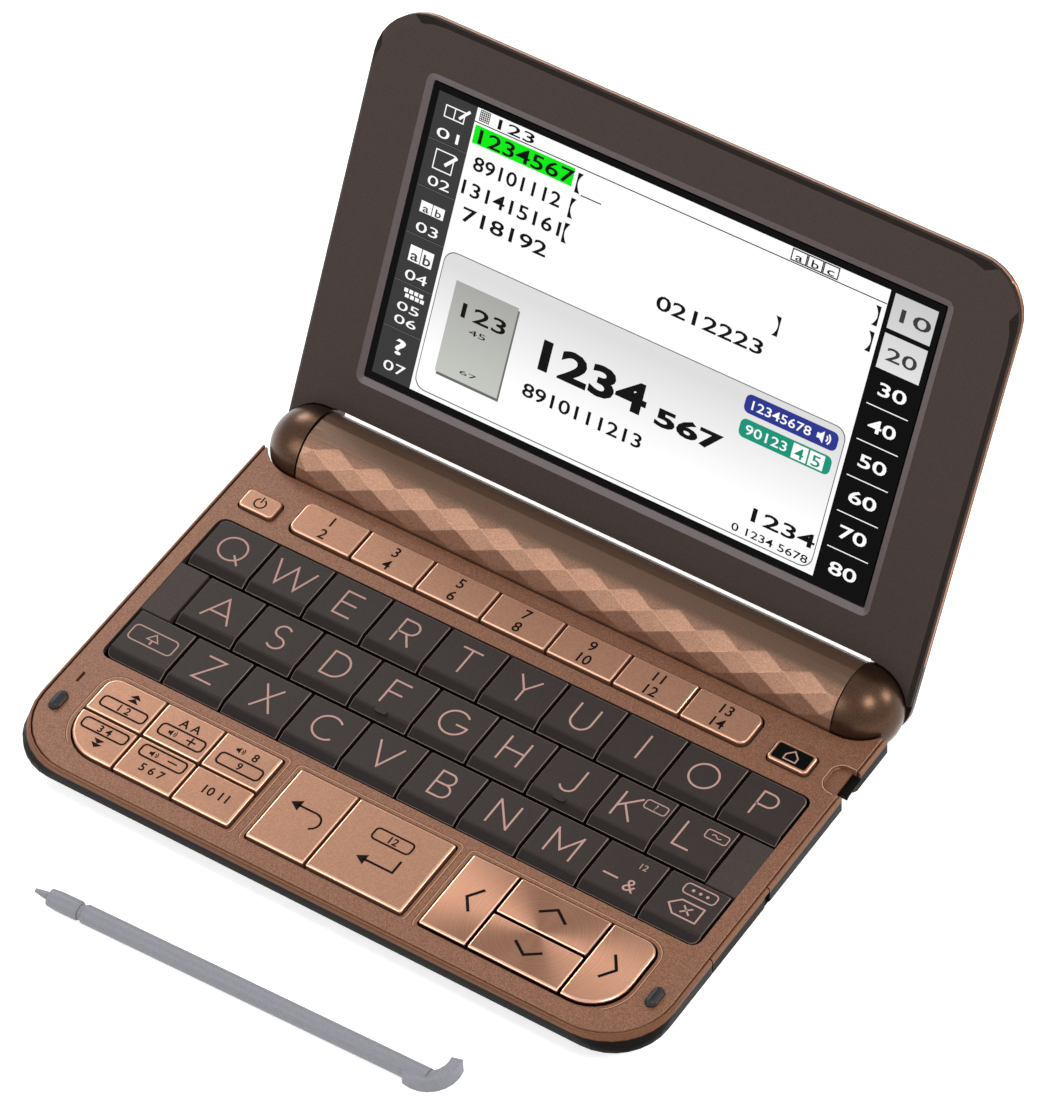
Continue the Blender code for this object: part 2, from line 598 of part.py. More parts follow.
def make_top_case(material):
    outline = case_outline(DECK_INSET)
    edge = case_outline(DECK_INSET + DECK_EDGE_ROUND)
    body = loft([[(x, y, -DECK_THICKNESS) for x, y in outline],
                 [(x, y, -DECK_EDGE_ROUND) for x, y in outline],
                 [(x, y, 0.0) for x, y in edge]])
    body = cut(body, hinge_space(CAP_CLEARANCE))
    low = -DECK_THICKNESS - OVERRUN
    for row in range(LETTER_ROWS):
        x0, x1, y0, y1 = letter_row_bounds(row)
        y0 -= GAP if row < LETTER_ROWS - 1 else 0.0
        radii = [0.0, 0.0, 0.0, 0.0]
        if row == 0:
            radii = [0.0, 0.0, LETTER_RADIUS, LETTER_RADIUS]
        if row == LETTER_ROWS - 1:
            radii = [LETTER_RADIUS, LETTER_RADIUS, 0.0, 0.0]
        body = cut(body, prism(rounded_outline(x0, x1, y0, y1, radii, SMALL_CORNER_STEPS), low, OVERRUN))
    for bounds, radii, _, _ in copper_openings():
        body = cut(body, prism(rounded_outline(*bounds, radii), low, OVERRUN))
    left = NOTCH_INNER_X
    scoop = rounded_outline(left, CASE_HALF_WIDTH + OVERRUN, NOTCH_Y - NOTCH_HALF_WIDTH,
                            NOTCH_Y + NOTCH_HALF_WIDTH, (NOTCH_CORNER_RADIUS, 0.0, 0.0, NOTCH_CORNER_RADIUS))
    body = cut(body, prism(scoop, -NOTCH_FLOOR, OVERRUN), notch_opening())
    slot = rounded_outline(SLOT_X - SLOT_HALF_WIDTH, SLOT_X + SLOT_HALF_WIDTH, SLOT_Y - SLOT_HALF_LENGTH,
                           SLOT_Y + SLOT_HALF_LENGTH, (SLOT_HALF_WIDTH / 2,) * 4, SMALL_CORNER_STEPS)
    body = cut(body, prism(slot, -SLOT_DEPTH, OVERRUN))
    for side in (-1, 1):
        body = join(body, bumper(side * BUMPER_X, BUMPER_Y))
        x0 = min(side * -LETTER_LEFT, side * (-LETTER_LEFT - LETTER_PITCH / 2))
        _, _, y0, y1 = letter_row_bounds(1)
        relief = box(x0, x0 + LETTER_PITCH / 2, y0, y1, -FILLER_DROP, OVERRUN)
        body = cut(body, relief)
    return make_object("top_case", body, material)


def bumper(x, y):
    """An oval rubber stud that the closed lid rests on."""
    loops = []
    dome = BUMPER_DOME_SHARE * BUMPER_HALF_WIDTH
    for z, inset in ((-DECK_THICKNESS / 2, 0.0), (BUMPER_RISE / 2, 0.0), (BUMPER_RISE, dome)):
        half_x = BUMPER_HALF_WIDTH - inset
        half_y = BUMPER_HALF_LENGTH - inset
        outline = rounded_outline(x - half_x, x + half_x, y - half_y, y + half_y,
                                  (half_x - inset / 2,) * 4, SMALL_CORNER_STEPS)
        loops.append([(px, py, z) for px, py in outline])
    return loft(loops)


def copper_openings():
    """Each group of copper keys: its opening's bounds and radii, the gap to a key and the key's rim."""
    function_right = FUNCTION_LEFT + FUNCTION_PITCH * FUNCTION_COUNT
    function_back = FUNCTION_FRONT + FUNCTION_DEPTH
    enter_right = BACK_KEY_LEFT + BACK_KEY_WIDTH + ENTER_KEY_WIDTH
    cluster_right = CLUSTER_LEFT + CLUSTER_PITCH * CLUSTER_COLUMNS
    small = (SMALL_KEY_RADIUS,) * 4
    fine = (SMALL_OPENING_GAP, COPPER_INNER_RUN)
    wide = (COPPER_OPENING_GAP, COPPER_RIM_RUN)
    return (
        ((FUNCTION_LEFT, function_right, FUNCTION_FRONT, function_back), (FUNCTION_RADIUS,) * 4,
         COPPER_OPENING_GAP, COPPER_INNER_RUN),
        ((POWER_LEFT, POWER_LEFT + POWER_WIDTH, SMALL_KEY_FRONT, SMALL_KEY_FRONT + POWER_DEPTH), small, *fine),
        ((HOME_LEFT, HOME_LEFT + HOME_WIDTH, SMALL_KEY_FRONT, SMALL_KEY_FRONT + HOME_DEPTH), small, *fine),
        ((CLUSTER_LEFT, cluster_right, CLUSTER_FRONT, CLUSTER_BACK),
         (CLUSTER_FRONT_RADIUS, SQUARE_RADIUS, SQUARE_RADIUS, CLUSTER_BACK_RADIUS), *wide),
        ((BACK_KEY_LEFT, enter_right, CLUSTER_FRONT, CLUSTER_BACK), (SQUARE_RADIUS,) * 4, *wide),
        ((CURSOR_LEFT, CURSOR_RIGHT, CLUSTER_FRONT, CLUSTER_BACK),
         (SQUARE_RADIUS, CLUSTER_FRONT_RADIUS, CLUSTER_BACK_RADIUS, SQUARE_RADIUS), *wide),
    )


def corner_steps(radii):
    return CORNER_STEPS if max(radii) > LETTER_RADIUS else SMALL_CORNER_STEPS


def make_letter_key(name, bounds, radii, material):
    """One letter key cap: a block with broken edges and a skirt that slopes down in front."""
    x0, x1, y0, y1 = bounds
    bm = prism(rounded_outline(x0, x1, y0, y1, radii, corner_steps(radii)), -KEY_DEPTH, LETTER_RISE)
    normal = Vector((0.0, -LETTER_SKIRT_DROP, LETTER_SKIRT_RUN)).normalized()
    geometry = bm.verts[:] + bm.edges[:] + bm.faces[:]
    bmesh.ops.bisect_plane(bm, geom=geometry, plane_co=(x0, y0 + LETTER_SKIRT_RUN, LETTER_RISE),
                           plane_no=normal, clear_outer=True)
    bmesh.ops.holes_fill(bm, edges=[e for e in bm.edges if e.is_boundary])
    bmesh.ops.recalc_face_normals(bm, faces=bm.faces[:])
    top = max(bm.faces, key=lambda face: face.calc_center_median().z)
    bmesh.ops.bevel(bm, geom=top.edges[:], offset=KEY_EDGE, segments=1, affect="EDGES", profile=0.5)
    origin = Vector(((x0 + x1) / 2, (y0 + y1) / 2, 0.0))
    return make_object(name, bm, material, origin)


def make_copper_key(name, cell, opening, material):
    """One copper key cap in its cell of an opening, with a wider rim where it faces the deck."""
    edges, radii, gap, rim = opening
    signs = (1, -1, 1, -1)
    at_deck = [math.isclose(own, edge) for own, edge in zip(cell, edges)]
    outer = [own + sign * (gap if facing else COPPER_GAP / 2)
             for own, sign, facing in zip(cell, signs, at_deck)]
    inner = [side + sign * (rim if facing else COPPER_INNER_RUN)
             for side, sign, facing in zip(outer, signs, at_deck)]
    outer_radii = []
    inner_radii = []
    for radius, (aside, ahead) in zip(radii, ((0, 2), (1, 2), (1, 3), (0, 3))):
        rounded = at_deck[aside] and at_deck[ahead]
        outer_radii.append(radius - gap if rounded else 0.0)
        inner_radii.append(max(radius - gap - rim, COPPER_LEAST_RADIUS) if rounded else 0.0)
    steps = corner_steps(outer_radii)
    block = rounded_outline(*outer, outer_radii, steps)
    top = rounded_outline(*inner, inner_radii, steps)
    levels = ((block, -KEY_DEPTH), (block, COPPER_RISE - COPPER_RIM_HEIGHT), (top, COPPER_RISE))
    bm = loft([[(x, y, z) for x, y in outline] for outline, z in levels])
    origin = Vector(((outer[0] + outer[1]) / 2, (outer[2] + outer[3]) / 2, 0.0))
    return make_object(name, bm, material, origin)


def make_letter_keys(material):
    """The letter field; only the four keys at its corners are rounded."""
    rows = (
        "key_q key_w key_e key_r key_t key_y key_u key_i key_o key_p".split(),
        "key_a key_s key_d key_f key_g key_h key_j key_k key_l".split(),
        "shift_key key_z key_x key_c key_v key_b key_n key_m symbol_key delete_key".split(),
    )
    first = LETTER_RADIUS - LETTER_REAR_GAP
    for row, names in enumerate(rows):
        left, _, front, back = letter_row_bounds(row)
        for column, name in enumerate(names):
            x0 = left + LETTER_END_GAP + column * LETTER_PITCH
            x1 = x0 + LETTER_PITCH - LETTER_SIDE_GAP
            radii = [0.0, 0.0, 0.0, 0.0]
            if name == "key_q":
                radii[3] = first
            if name == "key_p":
                radii[2] = first
            if name == "shift_key":
                radii[0] = first
            if name == "delete_key":
                radii[1] = first
            make_letter_key(name, (x0, x1, front + LETTER_FRONT_GAP, back - LETTER_REAR_GAP), radii, material)


def grid_cells(x_edges, y_edges):
    """Cells of a group of keys, row by row from the back left corner."""
    rows = list(zip(y_edges, y_edges[1:]))[::-1]
    return [(x0, x1, y0, y1) for y0, y1 in rows for x0, x1 in zip(x_edges, x_edges[1:])]


def make_copper_keys(material, dark_material):
    function, power, home, cluster, enter, cursor = copper_openings()
    edges = [FUNCTION_LEFT + i * FUNCTION_PITCH for i in range(FUNCTION_COUNT + 1)]
    for i, cell in enumerate(grid_cells(edges, function[0][2:])):
        make_copper_key(f"function_key_{i + 1}", cell, function, material)
    make_copper_key("power_key", power[0], power, material)
    make_copper_key("home_key", home[0], home, dark_material)
    edges = [CLUSTER_LEFT + i * CLUSTER_PITCH for i in range(CLUSTER_COLUMNS + 1)]
    rows = (CLUSTER_FRONT, CLUSTER_MIDDLE, CLUSTER_BACK)
    names = ("previous_entry_key", "larger_text_key", "speech_guide_key",
             "next_entry_key", "history_key", "jump_key")
    for name, cell in zip(names, grid_cells(edges, rows)):
        make_copper_key(name, cell, cluster, material)
    edges = (enter[0][0], BACK_KEY_LEFT + BACK_KEY_WIDTH, enter[0][1])
    for name, cell in zip(("back_key", "enter_key"), grid_cells(edges, enter[0][2:])):
        make_copper_key(name, cell, enter, material)
    left_end = CURSOR_LEFT + CURSOR_SIDE_WIDTH
    right_start = CURSOR_RIGHT - CURSOR_SIDE_WIDTH
    cells = [(CURSOR_LEFT, left_end, *cursor[0][2:])]
    cells += grid_cells((left_end, right_start), rows)
    cells.append((right_start, CURSOR_RIGHT, *cursor[0][2:]))
    names = ("cursor_left_key", "cursor_up_key", "cursor_down_key", "cursor_right_key")
    for name, cell in zip(names, cells):
        make_copper_key(name, cell, cursor, material)


def plain_barrel_radius(degrees):
    """Outer radius away from the facets: a little less over the top, to clear the lid's edge."""
    first, last = TOP_FLAT_ANGLES
    outside = max(first - degrees, degrees - last, 0.0)
    share = min(outside / TOP_FADE_ANGLE, 1.0)
    return BARREL_TOP_RADIUS + share * (BARREL_RADIUS - BARREL_TOP_RADIUS)


def barrel_angles():
    """Angles from straight behind, over the top and down the front, facet rows first."""
    facet_last = FACET_FIRST_ANGLE + FACET_ROW_ANGLE * FACET_ROWS
    angles = [FACET_FIRST_ANGLE + FACET_ROW_ANGLE * i for i in range(FACET_ROWS + 1)]
    span = 360.0 - (facet_last - FACET_FIRST_ANGLE)
    for i in range(1, PLAIN_ANGLE_STEPS):
        angles.append(facet_last + span * i / PLAIN_ANGLE_STEPS)
    return angles


def barrel_radius(column, row, degrees):
    """Outer radius at one point of the lattice: peaks where ridges cross, hollows between them."""
    plain = plain_barrel_radius((degrees + 90.0) % 360.0 - 90.0)
    if column is None or not 0 < row < FACET_ROWS:
        return plain
    if (row + column) % 2 == 0:
        return FACET_PEAK_RADIUS
    return FACET_CENTRE_RADIUS if 1 < row < FACET_ROWS - 1 else plain


def distance_from_hinge(vertex):
    return math.hypot(vertex.co.y - HINGE_Y, vertex.co.z + HINGE_DROP)


def faceted_barrel():
    """The barrel's outer form: a lattice of diamonds in front, plain round the rest and at its ends."""
    half_pitch = FACET_PITCH / 2
    reach = int((BARREL_HALF_LENGTH - GAP) / half_pitch)
    places = [(column, column * half_pitch) for column in range(-reach, reach + 1)]
    places = [(None, -BARREL_HALF_LENGTH)] + places + [(None, BARREL_HALF_LENGTH)]
    loops = []
    for column, x in places:
        loop = []
        for row, degrees in enumerate(barrel_angles()):
            radius = barrel_radius(column, row, degrees)
            angle = math.radians(degrees)
            loop.append((x, HINGE_Y + radius * math.cos(angle), -HINGE_DROP + radius * math.sin(angle)))
        loops.append(loop)
    bm = loft(loops)
    for face in [face for face in bm.faces if len(face.verts) == 4]:
        corners = list(face.verts)
        reaches = [distance_from_hinge(corner) for corner in corners]
        first = 0 if reaches[0] + reaches[2] > reaches[1] + reaches[3] else 1
        bmesh.utils.face_split(face, corners[first], corners[first + 2])
    return bm


def sector(inner, outer, first, last, half_length, steps=COVER_STEPS):
    """A bent strip round the hinge axis, between two radii and two angles."""
    ring = []
    for radius, ends in ((inner, (first, last)), (outer, (last, first))):
        for i in range(steps + 1):
            angle = math.radians(ends[0] + (ends[1] - ends[0]) * i / steps)
            ring.append((HINGE_Y + radius * math.cos(angle), -HINGE_DROP + radius * math.sin(angle)))
    return loft([[(x, y, z) for y, z in ring] for x in (-half_length, half_length)])


def make_hinge_barrel(material):
    body = faceted_barrel()
    body = cut(body, rod(-BAY_HALF_LENGTH, BAY_HALF_LENGTH, BAY_RADIUS, HINGE_Y, -HINGE_DROP))
    margin = math.degrees(GAP / BARREL_RADIUS)
    opening = sector(BAY_RADIUS - GAP, BARREL_RADIUS + OVERRUN, COVER_FIRST_ANGLE - margin,
                     COVER_LAST_ANGLE + margin, COVER_HALF_LENGTH + GAP)
    body = cut(body, opening)
    for side in (-1, 1):
        ends = sorted((side * (BARREL_HALF_LENGTH - PIN_LENGTH), side * (BARREL_HALF_LENGTH + OVERRUN)))
        body = cut(body, rod(*ends, PIN_RADIUS + GAP, HINGE_Y, -HINGE_DROP, SMALL_SIDES))
    obj = make_object("hinge_barrel", body, material, HINGE)
    smooth(obj, 12.0)
    return obj


def make_battery_cover(material):
    body = sector(BAY_RADIUS, BARREL_RADIUS, COVER_FIRST_ANGLE, COVER_LAST_ANGLE, COVER_HALF_LENGTH)
    middle = math.radians((COVER_FIRST_ANGLE + COVER_LAST_ANGLE) / 2)
    outward = Vector((0.0, math.cos(middle), math.sin(middle)))
    for i in range(COVER_RIBS):
        along = (i - (COVER_RIBS - 1) / 2) * COVER_RIB_PITCH
        seat = HINGE + outward * BARREL_RADIUS
        groove = box(along - COVER_RIB_WIDTH / 2, along + COVER_RIB_WIDTH / 2, -OVERRUN, OVERRUN,
                     -COVER_RIB_DEPTH, COVER_RIB_DEPTH)
        bmesh.ops.rotate(groove, verts=groove.verts[:], cent=(0, 0, 0),
                         matrix=Matrix.Rotation(middle - math.pi / 2, 3, "X"))
        bmesh.ops.translate(groove, verts=groove.verts[:], vec=seat)
        body = cut(body, groove)
    obj = make_object("battery_cover", body, material, HINGE)
    smooth(obj)
    return obj


def make_battery_pair(material):
    profile = []
    for end in (-CELL_LENGTH, 0.0):
        shoulder = end + CELL_LENGTH - CELL_NUB_LENGTH
        if not profile:
            profile.append((end, 0.0))
        profile.append((end, CELL_RADIUS - CELL_EDGE))
        profile.append((end + CELL_EDGE, CELL_RADIUS))
        profile.append((shoulder - CELL_EDGE, CELL_RADIUS))
        profile.append((shoulder, CELL_RADIUS - CELL_EDGE))
        profile.append((shoulder, CELL_NUB_RADIUS))
        profile.append((end + CELL_LENGTH, CELL_NUB_RADIUS))
    profile.append((CELL_LENGTH, 0.0))
    obj = make_object("battery_pair", turned(profile, HINGE_Y, -HINGE_DROP, ROUND_SIDES), material, HINGE)
    smooth(obj)
    return obj


def lid_outline(inset, top_radius):
    """Lid outline in width and distance from the hinge axis, drawn in by the inset."""
    half = LID_HALF_WIDTH - inset
    leg = max(LID_LEG_RADIUS - inset, LEAST_CORNER_RADIUS)
    top = top_radius - inset
    return rounded_outline(-half, half, -LID_LEG_LENGTH + inset, LID_LENGTH - inset, (leg, leg, top, top))


def lid_layer(levels):
    """Loft lid outlines; each level is (depth behind the face, inset, radius of the top corners)."""
    loops = []
    for depth, inset, top_radius in levels:
        y = LID_FACE_SETBACK + depth
        loops.append([(x, y, s) for x, s in lid_outline(inset, top_radius)])
    return loft(loops)


def lid_block(x0, x1, s0, s1, depth0, depth1):
    """A block in the lid's own frame, from one depth behind its face to another."""
    return box(x0, x1, LID_FACE_SETBACK + depth0, LID_FACE_SETBACK + depth1, s0, s1)


def slit_block():
    """The space between the lid's two legs, where the barrel passes."""
    half = BARREL_HALF_LENGTH + GAP
    return lid_block(-half, half, -LID_LEG_LENGTH - OVERRUN, BARREL_SLIT, -LID_FACE_SETBACK, LID_THICKNESS + OVERRUN)


def make_lid_back_cover(material, pivot):
    front = BEZEL_THICKNESS + GAP
    depth = LID_THICKNESS - front
    levels = []
    for depth_share, inset_share in LID_BACK_SHARES:
        levels.append((front + depth_share * depth, inset_share * LID_BACK_ROUND, LID_TOP_RADIUS))
    body = cut(lid_layer(levels), slit_block())
    pocket_depth = PANEL_SETBACK + PANEL_THICKNESS + GAP
    body = cut(body, lid_block(-WINDOW_HALF_WIDTH, WINDOW_HALF_WIDTH, WINDOW_BOTTOM, WINDOW_TOP, 0.0, pocket_depth))
    inner_half = WINDOW_HALF_WIDTH - POCKET_LEDGE
    bay_width = (2 * inner_half - LID_RIBS * LID_RIB_WIDTH) / (LID_RIBS + 1)
    for i in range(LID_RIBS + 1):
        x0 = -inner_half + i * (bay_width + LID_RIB_WIDTH)
        body = cut(body, lid_block(x0, x0 + bay_width, WINDOW_BOTTOM + POCKET_LEDGE, WINDOW_TOP - POCKET_LEDGE,
                                   0.0, LID_THICKNESS - BACK_WALL))
    for side in (-1, 1):
        body = join(body, turned(cap_profile(side), 0.0, 0.0, ROUND_SIDES))
    obj = make_object("lid_back_cover", body, material)
    smooth(obj)
    obj.parent = pivot
    return obj


def make_lid_bezel(material, pivot):
    levels = ((BEZEL_THICKNESS, 0.0, LID_TOP_RADIUS), (BEZEL_EDGE, 0.0, LID_TOP_RADIUS),
              (0.0, BEZEL_EDGE, LID_FACE_RADIUS))
    body = cut(lid_layer(levels), slit_block())
    half = LID_HALF_WIDTH + OVERRUN
    body = cut(body, lid_block(-half, half, -LID_LEG_LENGTH - OVERRUN, HORN_END, -OVERRUN, LID_THICKNESS))
    for side in (-1, 1):
        body = cut(body, turned(cap_space(side, CAP_RADIUS + GAP), 0.0, 0.0, ROUND_SIDES))
    loops = []
    for depth, widening in ((-OVERRUN, WINDOW_CHAMFER), (0.0, WINDOW_CHAMFER),
                            (PANEL_SETBACK, 0.0), (LID_THICKNESS, 0.0)):
        half = WINDOW_HALF_WIDTH + widening
        outline = rounded_outline(-half, half, WINDOW_BOTTOM - widening, WINDOW_TOP + widening,
                                  (WINDOW_RADIUS + widening,) * 4, SMALL_CORNER_STEPS)
        loops.append([(x, LID_FACE_SETBACK + depth, s) for x, s in outline])
    body = cut(body, loft(loops))
    obj = make_object("lid_bezel", body, material)
    obj.parent = pivot
    return obj


def make_display_panel(material, pivot):
    half = WINDOW_HALF_WIDTH - GAP
    outline = rounded_outline(-half, half, WINDOW_BOTTOM + GAP, WINDOW_TOP - GAP,
                              (WINDOW_RADIUS,) * 4, SMALL_CORNER_STEPS)
    depths = (PANEL_SETBACK, PANEL_SETBACK + PANEL_THICKNESS)
    body = loft([[(x, LID_FACE_SETBACK + depth, s) for x, s in outline] for depth in depths])
    obj = make_object("display_panel", body, material)
    obj.parent = pivot
    return obj


def make_port_cover(material):
    """A flap cut from the case's own side, so that it closes flush with it."""
    body = combine(case_hull(), port_block(), "INTERSECT")
    centre = (CASE_HALF_WIDTH + CATCH_RADIUS - CATCH_DEPTH, PORT_REAR)
    corner = (centre[0] - CATCH_RADIUS, centre[0] + CATCH_RADIUS, centre[1] - CATCH_RADIUS, centre[1] + CATCH_RADIUS)
    body = cut(body, prism(rounded_outline(*corner, (CATCH_RADIUS,) * 4), -CASE_HEIGHT, -CATCH_TOP))
    hinge_line = Vector((CASE_HALF_WIDTH, (PORT_FRONT + PORT_REAR) / 2, -PORT_HEIGHT))
    return make_object("port_cover", body, material, hinge_line)


def hook_outline(centre):
    """Plan outline of the hook at the stylus's upper end, a bent band."""
    points = []
    for radius, ends in ((HOOK_OUTER_RADIUS, HOOK_ANGLES), (HOOK_INNER_RADIUS, HOOK_ANGLES[::-1])):
        for i in range(CORNER_STEPS + 1):
            angle = math.radians(ends[0] + (ends[1] - ends[0]) * i / CORNER_STEPS)
            points.append((centre[0] + radius * math.cos(angle), centre[1] + radius * math.sin(angle)))
    return points


def make_stylus(material):
    x = STYLUS_TIP_X
    z = TABLE + STYLUS_RADIUS
    collar_start = x + NIB_LENGTH
    collar_end = collar_start + COLLAR_LENGTH
    shaft_start = collar_end + GROOVE_LENGTH
    shaft_end = shaft_start + SHAFT_LENGTH
    profile = (
        (x, 0.0), (x + NIB_TIP_RADIUS / 4, NIB_TIP_RADIUS), (collar_start, NIB_ROOT_RADIUS),
        (collar_start, COLLAR_END_RADIUS), (collar_start + COLLAR_LENGTH / 3, STYLUS_RADIUS),
        (collar_end - SHAFT_EDGE, STYLUS_RADIUS), (collar_end, COLLAR_END_RADIUS),
        (collar_end, GROOVE_RADIUS), (shaft_start, GROOVE_RADIUS), (shaft_start, COLLAR_END_RADIUS),
        (shaft_start + SHAFT_EDGE, STYLUS_RADIUS), (shaft_end, STYLUS_RADIUS), (shaft_end, 0.0),
    )
    body = turned(profile, STYLUS_Y, z, SMALL_SIDES)
    centre = (shaft_end - HOOK_CENTRE_BACK, STYLUS_Y + HOOK_CENTRE_ASIDE)
    hook = prism(hook_outline(centre), TABLE, TABLE + HOOK_THICKNESS)
    body = join(body, hook)
    obj = make_object("stylus", body, material, Vector((0.0, STYLUS_Y, z)))
    obj.rotation_euler = (0.0, 0.0, STYLUS_TURN)
    smooth(obj)
    return obj


def stand_on_origin():
    """Shift everything so that the middle of the footprint lies at the origin."""
    bpy.context.view_layer.update()
    corners = []
    for obj in bpy.context.scene.objects:
        if obj.type == "MESH":
            corners += [obj.matrix_world @ vertex.co for vertex in obj.data.vertices]
    low = [min(corner[axis] for corner in corners) for axis in range(3)]
    high = [max(corner[axis] for corner in corners) for axis in range(3)]
    shift = Vector(((low[0] + high[0]) / 2, (low[1] + high[1]) / 2, low[2]))
    for obj in bpy.context.scene.objects:
        if obj.parent is None:
            obj.location -= shift


def main():
    for obj in list(bpy.data.objects):
        bpy.data.objects.remove(obj)
    deck = make_material("bronze_painted_metal", "8a6048", 0.38, 0.6)
    dark_case = make_material("dark_plastic", "2e2924", 0.5, 0.0)
    copper = make_material("copper_plated_key", "a97a62", 0.3, 0.8)
    letters = make_material("dark_key_plastic", "3f3634", 0.5, 0.0)
    barrel = make_material("bronze_barrel_paint", "8f674e", 0.35, 0.7)
    lid_back = make_material("bronze_lid_paint", "7a5642", 0.38, 0.6)
    bezel = make_material("dark_bezel_plastic", "4a3f3c", 0.45, 0.0)
    screen = make_material("screen_glass", "101010", 0.1, 0.0)
    cell = make_material("cell_steel", "b8b8b0", 0.3, 0.9)
    grey = make_material("grey_stylus_plastic", "8a8a90", 0.5, 0.0)
    black_key = make_material("black_home_key", "15110f", 0.25, 0.0)

    make_bottom_case(dark_case)
    make_top_case(deck)
    make_letter_keys(letters)
    make_copper_keys(copper, black_key)
    make_hinge_barrel(barrel)
    make_battery_cover(dark_case)
    make_battery_pair(cell)

    pivot = bpy.data.objects.new("lid_pivot", None)
    pivot.location = HINGE
    pivot.rotation_euler = (-LID_TILT, 0.0, 0.0)
    bpy.context.scene.collection.objects.link(pivot)
    make_lid_back_cover(lid_back, pivot)
    make_lid_bezel(bezel, pivot)
    make_display_panel(screen, pivot)

    make_port_cover(deck)
    make_stylus(grey)
    stand_on_origin()


main()
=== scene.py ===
import json
import math

import bmesh
import bpy
from mathutils import Matrix, Vector

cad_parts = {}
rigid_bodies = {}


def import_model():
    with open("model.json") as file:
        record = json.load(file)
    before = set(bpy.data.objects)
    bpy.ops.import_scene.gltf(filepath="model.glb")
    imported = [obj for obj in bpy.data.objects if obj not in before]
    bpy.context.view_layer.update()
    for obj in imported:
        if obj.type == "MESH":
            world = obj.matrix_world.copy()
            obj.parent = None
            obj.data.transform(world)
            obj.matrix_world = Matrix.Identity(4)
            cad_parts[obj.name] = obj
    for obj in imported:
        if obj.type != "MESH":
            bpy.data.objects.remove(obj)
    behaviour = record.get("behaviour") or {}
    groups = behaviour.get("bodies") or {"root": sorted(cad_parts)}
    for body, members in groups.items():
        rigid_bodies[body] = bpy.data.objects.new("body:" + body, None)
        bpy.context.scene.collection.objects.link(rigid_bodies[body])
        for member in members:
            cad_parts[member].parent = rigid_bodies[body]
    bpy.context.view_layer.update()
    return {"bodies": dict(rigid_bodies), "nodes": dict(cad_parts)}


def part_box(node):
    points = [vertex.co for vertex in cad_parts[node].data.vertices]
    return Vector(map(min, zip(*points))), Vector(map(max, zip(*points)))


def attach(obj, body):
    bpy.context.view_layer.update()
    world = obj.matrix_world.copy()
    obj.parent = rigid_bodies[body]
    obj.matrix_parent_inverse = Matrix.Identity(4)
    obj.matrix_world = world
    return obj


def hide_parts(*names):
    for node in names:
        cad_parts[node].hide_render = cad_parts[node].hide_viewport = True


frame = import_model()
nodes = frame["nodes"]
MM = 0.001


# Places on the dictionary

# Drawings below are in millimetres: across the width, then from the case's front edge backwards.
FRONT_EDGE = -61.587
UNDERSIDE = 1.0
DECK_TOP = 10.0
KEY_TOP = DECK_TOP + 0.1
COPPER_TOP = DECK_TOP + 0.9
HINGE_AXIS = Vector((0.0, 34.713, 9.4)) * MM
LID_TILT = math.radians(27.9)
GLASS_SETBACK = 2.47

UP = Vector((0.0, 0.0, 1.0))
LID_BACKWARD = Vector((0.0, math.cos(LID_TILT), -math.sin(LID_TILT)))
LID_UPWARD = Vector((0.0, math.sin(LID_TILT), math.cos(LID_TILT)))
BARREL_REAR = Vector((0.0, math.cos(math.radians(3.5)), math.sin(math.radians(3.5))))


def on_deck(height):
    """Place of a drawing that lies level at this height above the table."""
    return Matrix.Translation((0.0, FRONT_EDGE * MM, height * MM))


def on_lid(setback):
    """Place of a drawing on the lid: across, then along the lid from the hinge axis."""
    turn = Matrix.Rotation(-LID_TILT, 4, "X")
    upright = Matrix(((1, 0, 0, 0), (0, 0, -1, setback * MM), (0, 1, 0, 0), (0, 0, 0, 1)))
    return Matrix.Translation(HINGE_AXIS) @ turn @ upright


def on_underside():
    """Place of a drawing on the case's underside, seen from below: across, then minus the way back."""
    return on_deck(UNDERSIDE) @ Matrix.Rotation(math.pi, 4, "X")


def on_side(x, side):
    """Place of a drawing on a side face: side times the way back, then the height above the table."""
    return Matrix(((0, 0, side, x * MM), (side, 0, 0, FRONT_EDGE * MM), (0, 1, 0, 0), (0, 0, 0, 1)))


def from_hinge(direction, distance):
    """A distance from the hinge axis along a direction, as one from the origin."""
    return distance + HINGE_AXIS.dot(direction) / MM


# Materials
def linear(hex_colour):
    """An sRGB hex colour as linear red, green, blue and alpha."""
    channels = [int(hex_colour[i:i + 2], 16) / 255 for i in (0, 2, 4)]
    return (*[c / 12.92 if c <= 0.04045 else ((c + 0.055) / 1.055) ** 2.4 for c in channels], 1.0)


def add(tree, kind, inputs=None, ramp=(), **settings):
    """Add a node with its settings; an input takes a value or is linked from a socket.

    A colour ramp's stops are pairs of a position and a linear colour.
    """
    made = tree.nodes.new(kind)
    for name, value in settings.items():
        setattr(made, name, value)
    for index, (position, colour) in enumerate(ramp):
        made.color_ramp.elements[index].position = position
        made.color_ramp.elements[index].color = colour
    for name, value in (inputs or {}).items():
        socket = made.inputs[name]
        if isinstance(value, bpy.types.NodeSocket):
            tree.links.new(value, socket)
        else:
            socket.default_value = value
    return made


